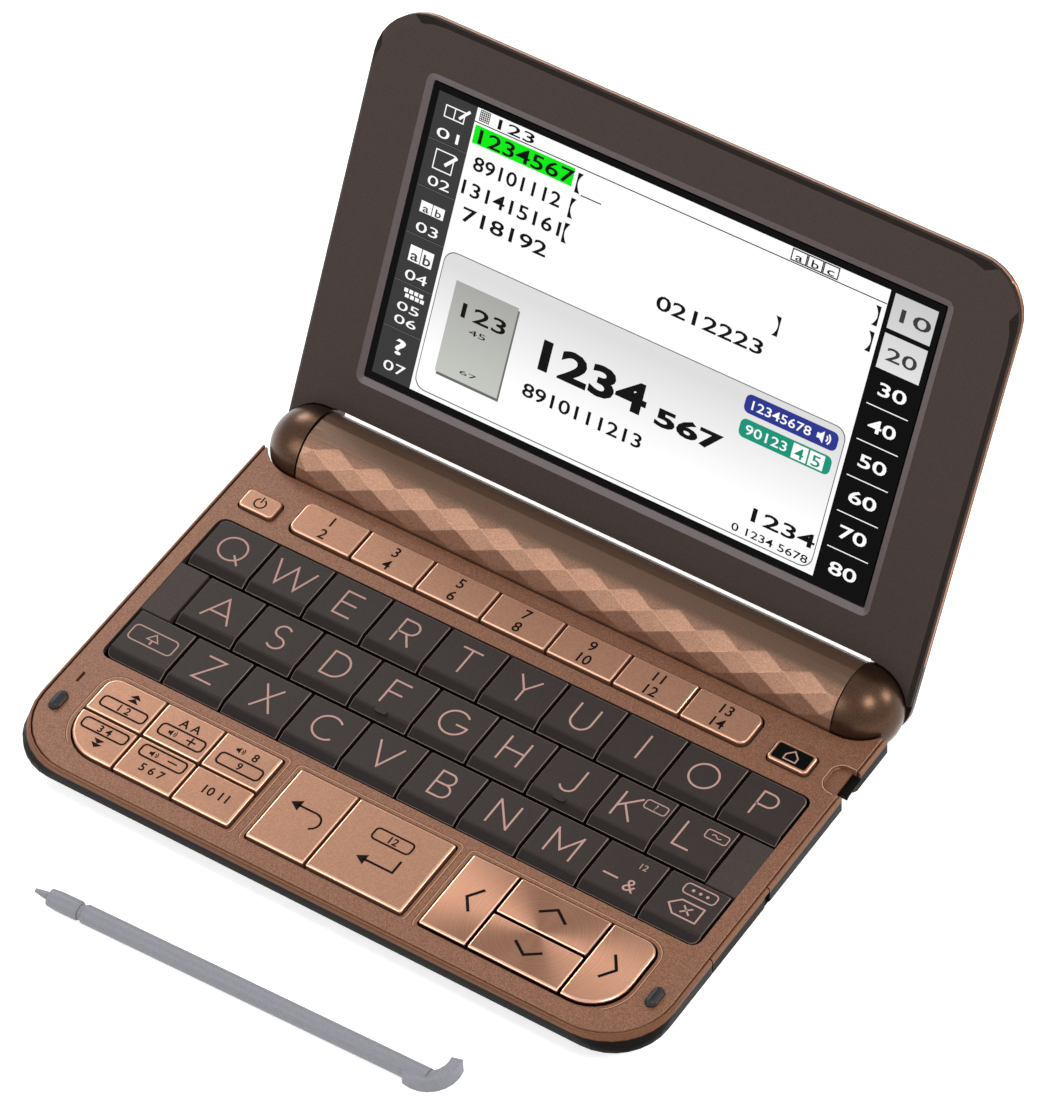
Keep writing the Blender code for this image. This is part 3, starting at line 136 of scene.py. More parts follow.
def start_material(name, grain=None, detail=2.0, **shader_values):
    """A material with its shader's own sockets set; returns it with its tree, shader, place and grains.

    The grains are noise with spots about this many millimetres across, or None without a size.
    """
    material = bpy.data.materials.new(name)
    material.use_nodes = True
    tree = material.node_tree
    shader = tree.nodes["Principled BSDF"]
    for socket, value in shader_values.items():
        shader.inputs[socket.replace("_", " ")].default_value = value
    place = add(tree, "ShaderNodeTexCoord").outputs["Object"]
    grains = None
    if grain:
        noise = {"Vector": place, "Scale": 1.0 / (grain * MM), "Detail": detail, "Roughness": 0.6}
        grains = add(tree, "ShaderNodeTexNoise", noise).outputs["Fac"]
    return material, tree, shader, place, grains


def coat(tree, shader, grains, pairs, smoothest, roughest, depth=0.0, strength=0.5, share=None,
         stops=(0.3, 0.7)):
    """Lay a finish on a shader: its colour, its roughness and its bump follow the grains.

    A pair is the darker and the lighter tone of one colour. The second pair, if there is one, shows
    where the share is 1. The bump is this many millimetres deep.
    """
    colours = []
    for pair in pairs:
        ramp = tuple(zip(stops, (linear(tone) for tone in pair)))
        colours.append(add(tree, "ShaderNodeValToRGB", {"Fac": grains}, ramp).outputs["Color"])
    colour = colours[0]
    if share is not None:
        both = add(tree, "ShaderNodeMix", {0: share, 6: colours[0], 7: colours[1]}, data_type="RGBA")
        colour = both.outputs[2]
    tree.links.new(colour, shader.inputs["Base Color"])
    spread = add(tree, "ShaderNodeMapRange", {"Value": grains, "To Min": smoothest, "To Max": roughest})
    tree.links.new(spread.outputs["Result"], shader.inputs["Roughness"])
    if depth:
        bump = add(tree, "ShaderNodeBump", {"Height": grains, "Strength": strength, "Distance": depth * MM})
        tree.links.new(bump.outputs["Normal"], shader.inputs["Normal"])


def beyond(tree, place, direction, start, end):
    """0 to 1 as a point moves from start to end, in millimetres along a direction."""
    along = add(tree, "ShaderNodeVectorMath", {0: place, 1: direction}, operation="DOT_PRODUCT")
    spread = add(tree, "ShaderNodeMapRange", {"Value": along.outputs["Value"], "From Min": start * MM,
                                              "From Max": end * MM})
    return spread.outputs["Result"]


def metal_finish(name, pair, metallic, roughness, grain=0.3, depth=0.012):
    """Metal-flake lacquer, plate or brushed metal: a satin colour that glitters in fine grains.

    Real flakes and marks are about 0.05 mm; they are drawn at the grain given, to show in the picture.
    """
    material, tree, shader, _, grains = start_material(name, grain, Metallic=metallic,
                                                       Specular_IOR_Level=0.35)
    coat(tree, shader, grains, [pair], roughness - 0.05, roughness + 0.07, depth, 0.6)
    return material


def moulded(name, pair, roughness, grain=0.35, depth=0.015, specular=0.12):
    """Moulded ABS or rubber with a spark-eroded texture: even, rather matt and very slightly mottled."""
    material, tree, shader, _, grains = start_material(name, grain, Specular_IOR_Level=specular)
    coat(tree, shader, grains, [pair], roughness - 0.05, roughness + 0.06, depth)
    return material


def two_tones(name, near, far, direction, start, end, metallic=(0.0, 0.0), roughness=0.45, specular=0.15):
    """One moulding in two tones, for two-tone paint and for painted shade: the far tone begins between start
    and end along a direction.
    """
    material, tree, shader, place, grains = start_material(name, 0.3, Specular_IOR_Level=specular)
    share = beyond(tree, place, direction, start, end)
    coat(tree, shader, grains, [near, far], roughness - 0.06, roughness + 0.06, 0.014, share=share)
    if metallic[1] != metallic[0]:
        metal = add(tree, "ShaderNodeMapRange", {"Value": share, "To Min": metallic[0],
                                                 "To Max": metallic[1]})
        tree.links.new(metal.outputs["Result"], shader.inputs["Metallic"])
    return material


def lid_coat():
    """Dark bronze lacquer of the lid's back and caps, with the bright copper band along the lid's rim."""
    material, tree, shader, place, grains = start_material("bronze_lid_lacquer", 0.3, Metallic=0.85)
    # the band reaches 4.4 mm behind the hinge plane, and starts above the caps
    shallow = beyond(tree, place, LID_BACKWARD, from_hinge(LID_BACKWARD, 5.0), from_hinge(LID_BACKWARD, 4.4))
    far_up = beyond(tree, place, LID_UPWARD, from_hinge(LID_UPWARD, 11.0), from_hinge(LID_UPWARD, 12.0))
    band = add(tree, "ShaderNodeMath", {0: shallow, 1: far_up}, operation="MULTIPLY").outputs["Value"]
    coat(tree, shader, grains, [("3d2a1e", "503a2b"), ("9c6c53", "b07e64")], 0.28, 0.36, 0.008, 0.4, band)
    return material


def ink(name, colour):
    """Pad-printed ink, also used for strips of painted shade and highlight: a thin film whose tone is
    slightly uneven.
    """
    material, tree, shader, _, grains = start_material(name, 0.5, Roughness=0.5, Specular_IOR_Level=0.04)
    tone = linear(colour)
    pale = tuple(min(1.0, channel * 1.1) for channel in tone[:3]) + (1.0,)
    uneven = add(tree, "ShaderNodeValToRGB", {"Fac": grains}, ((0.3, tone), (0.7, pale)))
    tree.links.new(uneven.outputs["Color"], shader.inputs["Base Color"])
    return material


def lit(name, top, bottom=None, start=21.0, end=51.0):
    """A lit part of the liquid crystal display, even or shaded from its bottom colour up to its top one.

    A display gives its own light, so the colour is in the emission over a near-black film.
    """
    material, tree, shader, place, _ = start_material(name, Base_Color=linear("030303"), Roughness=0.3,
                                                      Specular_IOR_Level=0.05, Emission_Strength=1.0)
    rise = beyond(tree, place, LID_UPWARD, from_hinge(LID_UPWARD, start), from_hinge(LID_UPWARD, end))
    shine = add(tree, "ShaderNodeValToRGB", {"Fac": rise}, ((0.0, linear(bottom or top)), (1.0, linear(top))))
    tree.links.new(shine.outputs["Color"], shader.inputs["Emission Color"])
    return material


def spun_copper():
    """Copper-plated key caps, turned on a lathe about the middle of the cursor keys.

    The turning marks are rings, so highlights fan out from the centre. Real marks are about
    0.05 mm apart; they are drawn 0.2 mm apart, to show in the picture.
    """
    material, tree, shader, place, _ = start_material("spun_copper_plate", Metallic=1.0, Anisotropic=0.85)
    centre = Vector((42.9, FRONT_EDGE + 15.4, 0.0)) * MM
    moved = add(tree, "ShaderNodeVectorMath", {0: place, 1: centre}, operation="SUBTRACT")
    flat = add(tree, "ShaderNodeVectorMath", {0: moved.outputs["Vector"], 1: (1.0, 1.0, 0.0)},
               operation="MULTIPLY").outputs["Vector"]
    radius = add(tree, "ShaderNodeVectorMath", {0: flat}, operation="LENGTH").outputs["Value"]
    rings = add(tree, "ShaderNodeTexNoise", {"W": radius, "Scale": 1.0 / (0.2 * MM), "Detail": 2.0},
                noise_dimensions="1D").outputs["Fac"]
    coat(tree, shader, rings, [("8b6450", "9b7460")], 0.33, 0.39)
    outwards = add(tree, "ShaderNodeVectorMath", {0: flat}, operation="NORMALIZE").outputs["Vector"]
    tree.links.new(outwards, shader.inputs["Tangent"])
    return material


def cover_glass():
    """Glossy black cover glass over the display, with very faint dust."""
    material, tree, shader, _, dust = start_material("black_cover_glass", 0.8, 4.0, Specular_IOR_Level=0.06)
    coat(tree, shader, dust, [("030303", "060606")], 0.1, 0.2, stops=(0.6, 0.9))
    return material


def cell_jacket():
    """Printed steel jackets of the cells: smooth grey film with faint streaks along them."""
    material, tree, shader, place, _ = start_material("cell_jacket", Metallic=0.6)
    drawn_out = add(tree, "ShaderNodeMapping", {"Vector": place, "Scale": (0.1, 1.0, 1.0)}).outputs["Vector"]
    streaks = add(tree, "ShaderNodeTexNoise", {"Vector": drawn_out, "Scale": 1.0 / (0.6 * MM), "Detail": 3.0,
                                               "Roughness": 0.6}).outputs["Fac"]
    coat(tree, shader, streaks, [("8f9093", "b4b5b8")], 0.25, 0.4)
    return material


# deck: bronze metal-flake lacquer on ABS, satin with a fine glitter
deck_lacquer = metal_finish("bronze_deck_lacquer", ("523423", "8c6048"), 0.25, 0.42, 0.24, 0.02)
# barrel: a bright copper coat on the faceted front; the darker bronze on the plain top and rear is painted
# shade
barrel_painted_shade_lacquer = two_tones("bronze_barrel_lacquer_painted_shade", ("755543", "987460"), ("5b4537", "6b5242"), BARREL_REAR,
                           from_hinge(BARREL_REAR, -4.2), from_hinge(BARREL_REAR, -2.1), (0.7, 0.5), 0.4, 0.4)
# battery cover: an even lacquer in the darker bronze that the barrel's top and rear take as painted shade
cover_lacquer = metal_finish("bronze_cover_lacquer", ("5b4537", "6b5242"), 0.5, 0.4, 0.3, 0.014)
# function keys: satin copper plate on ABS, even and softly bright
function_copper = metal_finish("satin_copper_plate", ("8d6752", "9f755f"), 0.7, 0.34, 0.4)
# cursor keys: copper plate turned on a lathe, with highlights that fan out
cursor_copper = spun_copper()
# rims of the copper keys: a paler copper on the rounded edges, painted highlight that shows as bright lines
copper_edge_highlight = metal_finish("painted_copper_edge_highlight", ("c79a80", "d8ad93"), 0.9, 0.3, 0.3, 0.003)
# case: matt near-black ABS below, a bronze lacquered rail above
case_finish = two_tones("dark_case_with_bronze_rail", ("100e0c", "171411"), ("5f3f2d", "74513d"), UP,
                        8.5, 8.7, (0.0, 0.6), 0.45, 0.04)
# letter keys: moulded charcoal ABS; their skirts are painted darker than their tops, as painted shade
letter_plastic_painted_skirt_shade = two_tones("charcoal_key_plastic_painted_skirt_shade", ("17110f", "1e1715"), ("261f1d", "2f2725"), UP, 9.75, 9.95)
# edges of the letter keys: a pale tone on the rounded edges, painted highlight that shows as thin pale lines
key_edge_highlight = moulded("painted_key_edge_highlight", ("6e5c54", "7e6b62"), 0.35, 0.3, 0.004, 0.35)
# blank fillers: plain charcoal ABS; the same charcoal on the walls and floor of the letter keys' opening is
# partly the fillers' own colour and partly painted shade in the gaps round the keys
filler_plastic_and_gap_shade = moulded("charcoal_filler_and_painted_gap_shade", ("342c2a", "3f3734"), 0.5)
# lid's back and caps: dark bronze lacquer with soft highlights, bright copper along the rim
lid_lacquer = lid_coat()
# bezel: brown spark-eroded ABS, almost without gloss
bezel_plastic = moulded("brown_bezel_plastic", ("352b28", "3f3431"), 0.5, 0.3)
# sloping frame of the window: smooth grey-brown ABS, painted paler than the bezel as painted highlight
window_slope_highlight = moulded("painted_highlight_window_slope", ("4f4545", "5a4f50"), 0.4, 0.3, 0.008, 0.3)
# outer edge of the bezel: the bezel's brown painted darker, as painted shade, which looks like a black line
# round the lid
bezel_edge_shade = moulded("painted_shade_bezel_edge", ("1c1614", "241d1a"), 0.5, 0.3, 0.015, 0.05)
# stylus: plain grey ABS, slightly glossy
stylus_plastic = moulded("grey_stylus_plastic", ("78787f", "818188"), 0.45, 0.5, 0.008, 0.3)
# bumpers: blue-black silicone rubber with a dull sheen
bumper_rubber = moulded("black_bumper_rubber", ("14161a", "1c1f24"), 0.5, 0.4, 0.01, 0.25)
# feet: black rubber, quite matt
foot_rubber = moulded("black_foot_rubber", ("101010", "1a1a1a"), 0.7, 0.3, 0.02, 0.2)
# screws and connector shell: blackened steel, dark with a metal glint
screw_steel = metal_finish("blackened_screw_steel", ("3a3a3c", "48484b"), 0.9, 0.35, 0.2, 0.004)
# card contacts and jack ring: gilt spring metal, bright yellow
contact_gold = metal_finish("gilt_contacts", ("b8924a", "caa45c"), 1.0, 0.3, 0.2, 0.003)
# connector tongue: black plastic; screw recesses, loudspeaker holes and the connector's floor: the same
# black, painted shade in place of their dark insides
black_plastic_and_hole_shade = moulded("black_plastic_and_painted_hole_shade", ("0b0b0b", "131313"), 0.4, 0.3, 0.004, 0.3)
# home key's plate: black ABS insert, smooth
home_black = moulded("black_home_plate", ("060505", "0b0a0a"), 0.3, 0.4, 0.005, 0.03)
# prints: rose ink on charcoal keys, black inks on copper keys; and the two flanks of engraved lines, ink
# strips of painted shade and painted highlight
key_ink = ink("rose_key_print", "a4827a")
arrow_ink = ink("cursor_key_print", "0b0706")
copper_ink = ink("black_key_print", "140c09")
line_shadow = ink("engraved_line_shadow", "4c3222")
line_highlight = ink("painted_engraved_line_highlight", "b98d70")
glass = cover_glass()


# Solids with broken edges
def dress(name, finish, smooth=32.0, edge=0.0, least=32.0, rim=None):
    """A merged and smoothly shaded copy of a CAD solid that stands for it.

    Outer edges sharper than the least angle are rounded, if an edge size in millimetres is given,
    and the rounded edges may take a rim finish of their own, a paler tone as painted highlight.
    """
    node = nodes[name]
    node.data.materials.clear()
    node.data.materials.append(finish)
    bm = bmesh.new()
    bm.from_mesh(node.data)
    bmesh.ops.remove_doubles(bm, verts=bm.verts[:], dist=0.002 * MM)
    bmesh.ops.dissolve_limit(bm, angle_limit=math.radians(0.3), verts=bm.verts[:], edges=bm.edges[:])
    if edge:
        sharp = [e for e in bm.edges
                 if e.is_manifold and e.is_convex and e.calc_face_angle() > math.radians(least)]
        rounding = bmesh.ops.bevel(bm, geom=sharp, offset=edge * MM, segments=2, affect="EDGES", profile=0.5,
                                   material=-1, clamp_overlap=True)
        for face in rounding["faces"]:
            face.material_index = 1 if rim else 0
    mesh = bpy.data.meshes.new(f"{name}_dressed")
    bm.to_mesh(mesh)
    bm.free()
    mesh.materials.clear()
    for material in (finish, rim) if rim else (finish,):
        mesh.materials.append(material)
    mesh.shade_smooth()
    mesh.set_sharp_from_angle(angle=math.radians(smooth))
    piece = bpy.data.objects.new(f"{name}_dressed", mesh)
    bpy.context.scene.collection.objects.link(piece)
    weigh = piece.modifiers.new("flat_faces_stay_flat", "WEIGHTED_NORMAL")
    weigh.keep_sharp = True
    body = next(body for body, root in frame["bodies"].items() if root == node.parent)
    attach(piece, body)
    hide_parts(name)
    return piece


def recoat(piece, finish, chosen):
    """Give a finish of their own to the faces for which chosen(face) is true."""
    if finish.name not in piece.data.materials:
        piece.data.materials.append(finish)
    slot = piece.data.materials.find(finish.name)
    for face in piece.data.polygons:
        if chosen(face):
            face.material_index = slot


FIELD_HALF_WIDTH, FIELD_FRONT, FIELD_BACK = 70.3, 27.5, 72.5


def in_letter_field(face):
    """Whether a face of the deck is in the letter keys' opening, below the deck's surface."""
    across, back = face.center.x / MM, face.center.y / MM - FRONT_EDGE
    below = face.center.z < (DECK_TOP - 0.15) * MM
    return abs(across) < FIELD_HALF_WIDTH and FIELD_FRONT < back < FIELD_BACK and below


for name in nodes:
    if name.startswith("key_") or name in ("shift_key", "symbol_key", "delete_key"):
        # the rounded edges and sloping faces of each letter key take the pale tone, a painted highlight
        key = dress(name, letter_plastic_painted_skirt_shade, 40.0, 0.13, rim=key_edge_highlight)
        recoat(key, key_edge_highlight, lambda face: 0.3 < face.normal.z < 0.85)
    elif name.endswith("_key") or name.startswith("function_"):
        finish = cursor_copper if name.startswith("cursor_") else function_copper
        # the rounded edges and sloping faces of each copper key take the paler copper, a painted highlight
        key = dress(name, finish, 40.0, 0.2, rim=copper_edge_highlight)
        recoat(key, copper_edge_highlight, lambda face: 0.2 < face.normal.z < 0.97)
# faces in the letter keys' opening take the charcoal: the fillers' colour, and painted shade in the gaps
recoat(dress("top_case", deck_lacquer), filler_plastic_and_gap_shade, in_letter_field)
recoat(dress("bottom_case", case_finish), foot_rubber, lambda face: face.center.z < (UNDERSIDE - 0.1) * MM)
dress("hinge_barrel", barrel_painted_shade_lacquer, edge=0.22, least=6.5)
dress("battery_cover", cover_lacquer)
dress("battery_pair", cell_jacket())
dress("lid_back_cover", lid_lacquer)
into_lid = on_lid(0.0).inverted()
WINDOW_HALF_WIDTH, WINDOW_FOOT, WINDOW_HEAD = 61.5, 16.0, 86.5


def squareness(face):
    """How squarely a face of the bezel looks out of the lid, 0 to 1."""
    return abs((into_lid.to_3x3() @ face.normal).z)


def in_window(face):
    """Whether a face of the bezel is in the window's sloping frame."""
    across, along, _ = into_lid @ face.center / MM
    return abs(across) < WINDOW_HALF_WIDTH and WINDOW_FOOT < along < WINDOW_HEAD and squareness(face) < 0.95


bezel = dress("lid_bezel", bezel_plastic, 15.0)
# the window's sloping frame takes the paler tone, a painted highlight
recoat(bezel, window_slope_highlight, in_window)
# the bezel's outer edge faces take the darker tone, a painted shade
recoat(bezel, bezel_edge_shade, lambda face: squareness(face) < 0.9 and not in_window(face))
dress("port_cover", case_finish)
dress("stylus", stylus_plastic)
nodes["display_panel"].data.materials.clear()
nodes["display_panel"].data.materials.append(glass)


# Drawing in flat plates
def arc(x, y, rx, ry, first, last, steps=14):
    """Points along part of an ellipse, angles in degrees."""
    return [(x + rx * math.cos(math.radians(first + (last - first) * i / steps)),
             y + ry * math.sin(math.radians(first + (last - first) * i / steps))) for i in range(steps + 1)]


def rounded(x0, x1, y0, y1, radius, steps=5):
    """Corner points of a rounded rectangle."""
    return (arc(x0 + radius, y0 + radius, radius, radius, 180, 270, steps)
            + arc(x1 - radius, y0 + radius, radius, radius, 270, 360, steps)
            + arc(x1 - radius, y1 - radius, radius, radius, 0, 90, steps)
            + arc(x0 + radius, y1 - radius, radius, radius, 90, 180, steps))


def raise_faces(bm, height):
    """Give flat faces this thickness in millimetres; returns the vertices on top."""
    raised = bmesh.ops.extrude_face_region(bm, geom=bm.faces[:])
    tops = [v for v in raised["geom"] if isinstance(v, bmesh.types.BMVert)]
    bmesh.ops.translate(bm, verts=tops, vec=(0.0, 0.0, height * MM))
    bmesh.ops.recalc_face_normals(bm, faces=bm.faces[:])
    return tops


def raise_rounded(bm, height, radius, segments):
    """Give flat faces a thickness and round the edges on top."""
    tops = raise_faces(bm, height)
    rim = [e for e in bm.edges if all(v in tops for v in e.verts)]
    bmesh.ops.bevel(bm, geom=rim, offset=radius * MM, segments=segments, affect="EDGES", profile=0.5,
                    material=-1)


def absorb(drawing, piece, place, finish):
    """Take a finished piece's evaluated mesh into a drawing."""
    bpy.context.scene.collection.objects.link(piece)
    bpy.context.view_layer.update()
    shape = piece.evaluated_get(bpy.context.evaluated_depsgraph_get())
    mesh = bpy.data.meshes.new_from_object(shape)
    mesh.transform(place)
    first = len(drawing.faces)
    drawing.from_mesh(mesh)
    drawing.faces.ensure_lookup_table()
    for face in drawing.faces[first:]:
        face.material_index = finish
    bpy.data.objects.remove(piece)
    bpy.data.meshes.remove(mesh)


def stroke(drawing, points, width, closed=False, level=0.0, finish=0, thickness=0.02):
    """A line of even width, mitred at its corners: a low wall given its width by Solidify."""
    bm = bmesh.new()
    path = [bm.verts.new((x * MM, y * MM, 0.0)) for x, y in points]
    for start, end in zip(path, path[1:] + path[:1] if closed else path[1:]):
        bm.edges.new((start, end))
    wall = bmesh.ops.extrude_edge_only(bm, edges=bm.edges[:])
    tops = [v for v in wall["geom"] if isinstance(v, bmesh.types.BMVert)]
    bmesh.ops.translate(bm, verts=tops, vec=(0.0, 0.0, thickness * MM))
    mesh = bpy.data.meshes.new("stroke")
    bm.to_mesh(mesh)
    bm.free()
    piece = bpy.data.objects.new("stroke", mesh)
    solid = piece.modifiers.new("width", "SOLIDIFY")
    solid.thickness = width * MM
    solid.offset = 0.0
    solid.use_even_offset = True
    absorb(drawing, piece, Matrix.Translation((0, 0, level * MM)), finish)


def plate(drawing, points, level=0.0, finish=0, thickness=0.02):
    """A filled flat shape with its own small thickness."""
    bm = bmesh.new()
    bm.faces.new([bm.verts.new((x * MM, y * MM, level * MM)) for x, y in points])
    raise_faces(bm, thickness)
    mesh = bpy.data.meshes.new("plate")
    bm.to_mesh(mesh)
    bm.free()
    absorb(drawing, bpy.data.objects.new("plate", mesh), Matrix.Identity(4), finish)


def bar(drawing, x0, x1, y0, y1, level=0.0, finish=0):
    """A filled rectangle."""
    plate(drawing, ((x0, y0), (x1, y0), (x1, y1), (x0, y1)), level, finish)


# height of the default font's figures, as a share of its size
FIGURE_HEIGHT_SHARE = 0.73


def figures(drawing, text, x, y, height, width=None, level=0.0, finish=0, bold=0.0):
    """Plain figures or signs centred on a point, this many millimetres high."""
    curve = bpy.data.curves.new("figures", "FONT")
    curve.body = text
    curve.size = height / FIGURE_HEIGHT_SHARE * MM
    curve.align_x = "CENTER"
    curve.offset = bold * MM
    curve.resolution_u = 3
    curve.extrude = 0.01 * MM
    piece = bpy.data.objects.new("figures", curve)
    place = Matrix.Translation((x * MM, (y - height / 2) * MM, (level + 0.01) * MM))
    if width:
        bpy.context.scene.collection.objects.link(piece)
        bpy.context.view_layer.update()
        place = place @ Matrix.Diagonal((width * MM / piece.dimensions.x, 1.0, 1.0, 1.0))
        bpy.context.scene.collection.objects.unlink(piece)
    absorb(drawing, piece, place, finish)


def finish_drawing(drawing, name, place, body, materials, smooth=False):
    """Turn a drawing into a piece at its place, riding on a body."""
    mesh = bpy.data.meshes.new(name)
    drawing.to_mesh(mesh)
    drawing.free()
    mesh.transform(place)
    for material in materials:
        mesh.materials.append(material)
    if smooth:
        mesh.shade_smooth()
        mesh.set_sharp_from_angle(angle=math.radians(35))
    piece = bpy.data.objects.new(name, mesh)
    bpy.context.scene.collection.objects.link(piece)
    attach(piece, body)


# Letters of the keyboard

# a letter's height, how far its foot lies behind the key's front edge, and its line width
LETTER_HEIGHT, LETTER_FOOT, LETTER_STROKE = 6.1, 4.0, 0.42
# two letters make room for a small sign in a frame beside them
SHIFTED_LETTERS = {"k": -1.6, "l": -1.6}
# strokes in shares of a letter's height, from its middle and its foot
BOWL = arc(0.05, 0.725, 0.275, 0.275, 90, -90)
LETTERS = {
    "a": ([(-0.53, -0.03), (0, 0.98), (0.53, -0.03)], [(-0.36, 0.3), (0.36, 0.3)]),
    "b": ([(-0.33, 0.0), (-0.33, 0.53)] + arc(0.08, 0.265, 0.265, 0.265, 90, -90) + [(-0.33, 0.0)],
          [(-0.33, 0.5), (-0.33, 1.0)] + arc(0.03, 0.765, 0.235, 0.235, 90, -85)),
    "c": (arc(0.06, 0.5, 0.5, 0.5, 45, 315, 24),),
    "d": ([(-0.38, 0.0), (-0.38, 1.0)] + arc(-0.04, 0.5, 0.46, 0.5, 90, -90, 18) + [(-0.38, 0.0)],),
    "e": ([(0.33, 1.0), (-0.33, 1.0), (-0.33, 0.0), (0.33, 0.0)], [(-0.33, 0.52), (0.28, 0.52)]),
    "f": ([(0.32, 1.0), (-0.3, 1.0), (-0.3, -0.03)], [(-0.3, 0.5), (0.25, 0.5)]),
    "g": (arc(0.0, 0.5, 0.5, 0.5, 45, 355, 26) + [(0.08, 0.46)],),
    "h": ([(-0.38, -0.03), (-0.38, 1.03)], [(0.38, -0.03), (0.38, 1.03)], [(-0.38, 0.52), (0.38, 0.52)]),
    "i": ([(0.0, -0.03), (0.0, 1.03)],),
    "j": ([(0.22, 1.03)] + arc(-0.06, 0.28, 0.28, 0.28, 0, -155),),
    "k": ([(-0.33, -0.03), (-0.33, 1.03)], [(0.32, 1.02), (-0.33, 0.38)], [(-0.12, 0.58), (0.36, -0.02)]),
    "l": ([(-0.3, 1.03), (-0.3, 0.0), (0.3, 0.0)],),
    "m": ([(-0.47, -0.03), (-0.47, 1.03)], [(0.47, -0.03), (0.47, 1.03)],
          [(-0.47, 0.98), (0, 0.24), (0.47, 0.98)]),
    "n": ([(-0.38, -0.03), (-0.38, 1.03)], [(0.38, -0.03), (0.38, 1.03)], [(-0.38, 1.0), (0.38, 0.0)]),
    "o": (arc(0.0, 0.5, 0.5, 0.5, 0, 360, 32),),
    "p": ([(-0.3, -0.03), (-0.3, 1.0)] + BOWL + [(-0.32, 0.45)],),
    "q": (arc(-0.05, 0.5, 0.5, 0.5, 0, 360, 32), [(0.14, 0.3), (0.46, -0.06)]),
    "r": ([(-0.32, -0.03), (-0.32, 1.0)] + BOWL + [(-0.34, 0.45)], [(0.0, 0.47), (0.34, -0.03)]),
    "s": (arc(0.0, 0.75, 0.26, 0.25, 35, 270) + arc(0.0, 0.25, 0.29, 0.25, 90, -145)[1:],),
    "t": ([(-0.38, 1.0), (0.38, 1.0)], [(0.0, 1.0), (0.0, -0.03)]),
    "u": ([(-0.37, 1.03)] + arc(0.0, 0.37, 0.37, 0.37, 180, 360) + [(0.37, 1.03)],),
    "v": ([(-0.46, 1.03), (0.0, 0.03), (0.46, 1.03)],),
    "w": ([(-0.72, 1.03), (-0.37, 0.04), (0.0, 0.96), (0.37, 0.04), (0.72, 1.03)],),
    "x": ([(-0.38, -0.03), (0.34, 1.03)], [(-0.34, 1.03), (0.38, -0.03)]),
    "y": ([(-0.4, 1.03), (0.0, 0.48), (0.4, 1.03)], [(0.0, 0.5), (0.0, -0.03)]),
    "z": ([(-0.34, 1.0), (0.34, 1.0), (-0.37, 0.0), (0.38, 0.0)],),
}


def key_place(name):
    """Middle and front of a key in drawing millimetres."""
    low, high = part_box(name)
    return (low.x + high.x) / 2 / MM, low.y / MM - FRONT_EDGE


for letter, strokes in LETTERS.items():
    name = f"key_{letter}"
    middle, front = key_place(name)
    middle += SHIFTED_LETTERS.get(letter, 0.0)
    foot = front + LETTER_FOOT
    drawing = bmesh.new()
    for index, points in enumerate(strokes):
        # a ring's last point comes back to its first, give or take a rounding
        closed = math.dist(points[0], points[-1]) < 0.001
        path = points[:-1] if closed else points
        # crossing strokes differ a little in height, so that their tops don't coincide
        stroke(drawing, [(middle + x * LETTER_HEIGHT, foot + y * LETTER_HEIGHT) for x, y in path],
               LETTER_STROKE, closed, thickness=0.02 + 0.004 * index)
    if letter == "k":
        stroke(drawing, rounded(42.7, 47.6, 52.2, 54.4, 0.6), 0.24, closed=True)
        figures(drawing, "?", 45.15, 53.3, 1.5)
    if letter == "l":
        stroke(drawing, rounded(56.6, 61.5, 52.2, 54.4, 0.6), 0.24, closed=True)
        wave = [(57.9 + 0.18 * i, 53.3 + 0.3 * math.sin(i / 12 * math.tau)) for i in range(13)]
        stroke(drawing, wave, 0.22)
    finish_drawing(drawing, f"legend_{letter}", on_deck(KEY_TOP), name, [key_ink])

# shift: an arrow in a frame
drawing = bmesh.new()
stroke(drawing, rounded(-68.0, -57.6, 34.9, 38.9, 1.0), 0.28, closed=True)
stroke(drawing, [(-62.9, 35.6), (-62.9, 36.6), (-64.1, 36.6), (-62.8, 38.3), (-61.5, 36.6), (-62.7, 36.6),
                 (-62.7, 35.6)], 0.26, closed=True)
finish_drawing(drawing, "legend_shift", on_deck(KEY_TOP), "shift_key", [key_ink])

drawing = bmesh.new()
figures(drawing, "12", 51.0, 39.7, 1.5)
bar(drawing, 44.8, 48.2, 34.7, 35.1)
figures(drawing, "&", 51.2, 34.6, 3.2)
finish_drawing(drawing, "legend_symbol", on_deck(KEY_TOP), "symbol_key", [key_ink])

# delete: three dots in a frame, over a tag with a cross
drawing = bmesh.new()
stroke(drawing, rounded(60.2, 67.4, 38.6, 41.2, 0.9), 0.28, closed=True)
for spot in (62.2, 63.8, 65.4):
    plate(drawing, arc(spot, 39.9, 0.35, 0.35, 0, 345, 11))
stroke(drawing, [(59.6, 35.1), (61.5, 37.0), (66.6, 37.0), (66.6, 33.2), (61.5, 33.2)], 0.36, closed=True)
stroke(drawing, [(62.6, 36.0), (64.6, 34.2)], 0.36)
stroke(drawing, [(64.6, 36.0), (62.6, 34.2)], 0.36)
finish_drawing(drawing, "legend_delete", on_deck(KEY_TOP), "delete_key", [key_ink])


# Marks on the copper keys
def loudspeaker(drawing, x, y, size, finish=0, level=0.0):
    """A small loudspeaker with two sound waves."""
    shape = ((-1.0, -0.35), (-0.55, -0.35), (0.0, -0.85), (0.0, 0.85), (-0.55, 0.35), (-1.0, 0.35))
    plate(drawing, [(x + px * size, y + py * size) for px, py in shape], level, finish)
    for radius in (0.5, 0.9):
        stroke(drawing, arc(x + 0.1 * size, y, radius * size, radius * size, -50, 50, 8), 0.22 * size,
               level=level, finish=finish)


def capsule(drawing, x0, x1, y0, y1):
    """The outline of a small round-ended box."""
    stroke(drawing, rounded(x0, x1, y0, y1, 0.9), 0.42, closed=True)


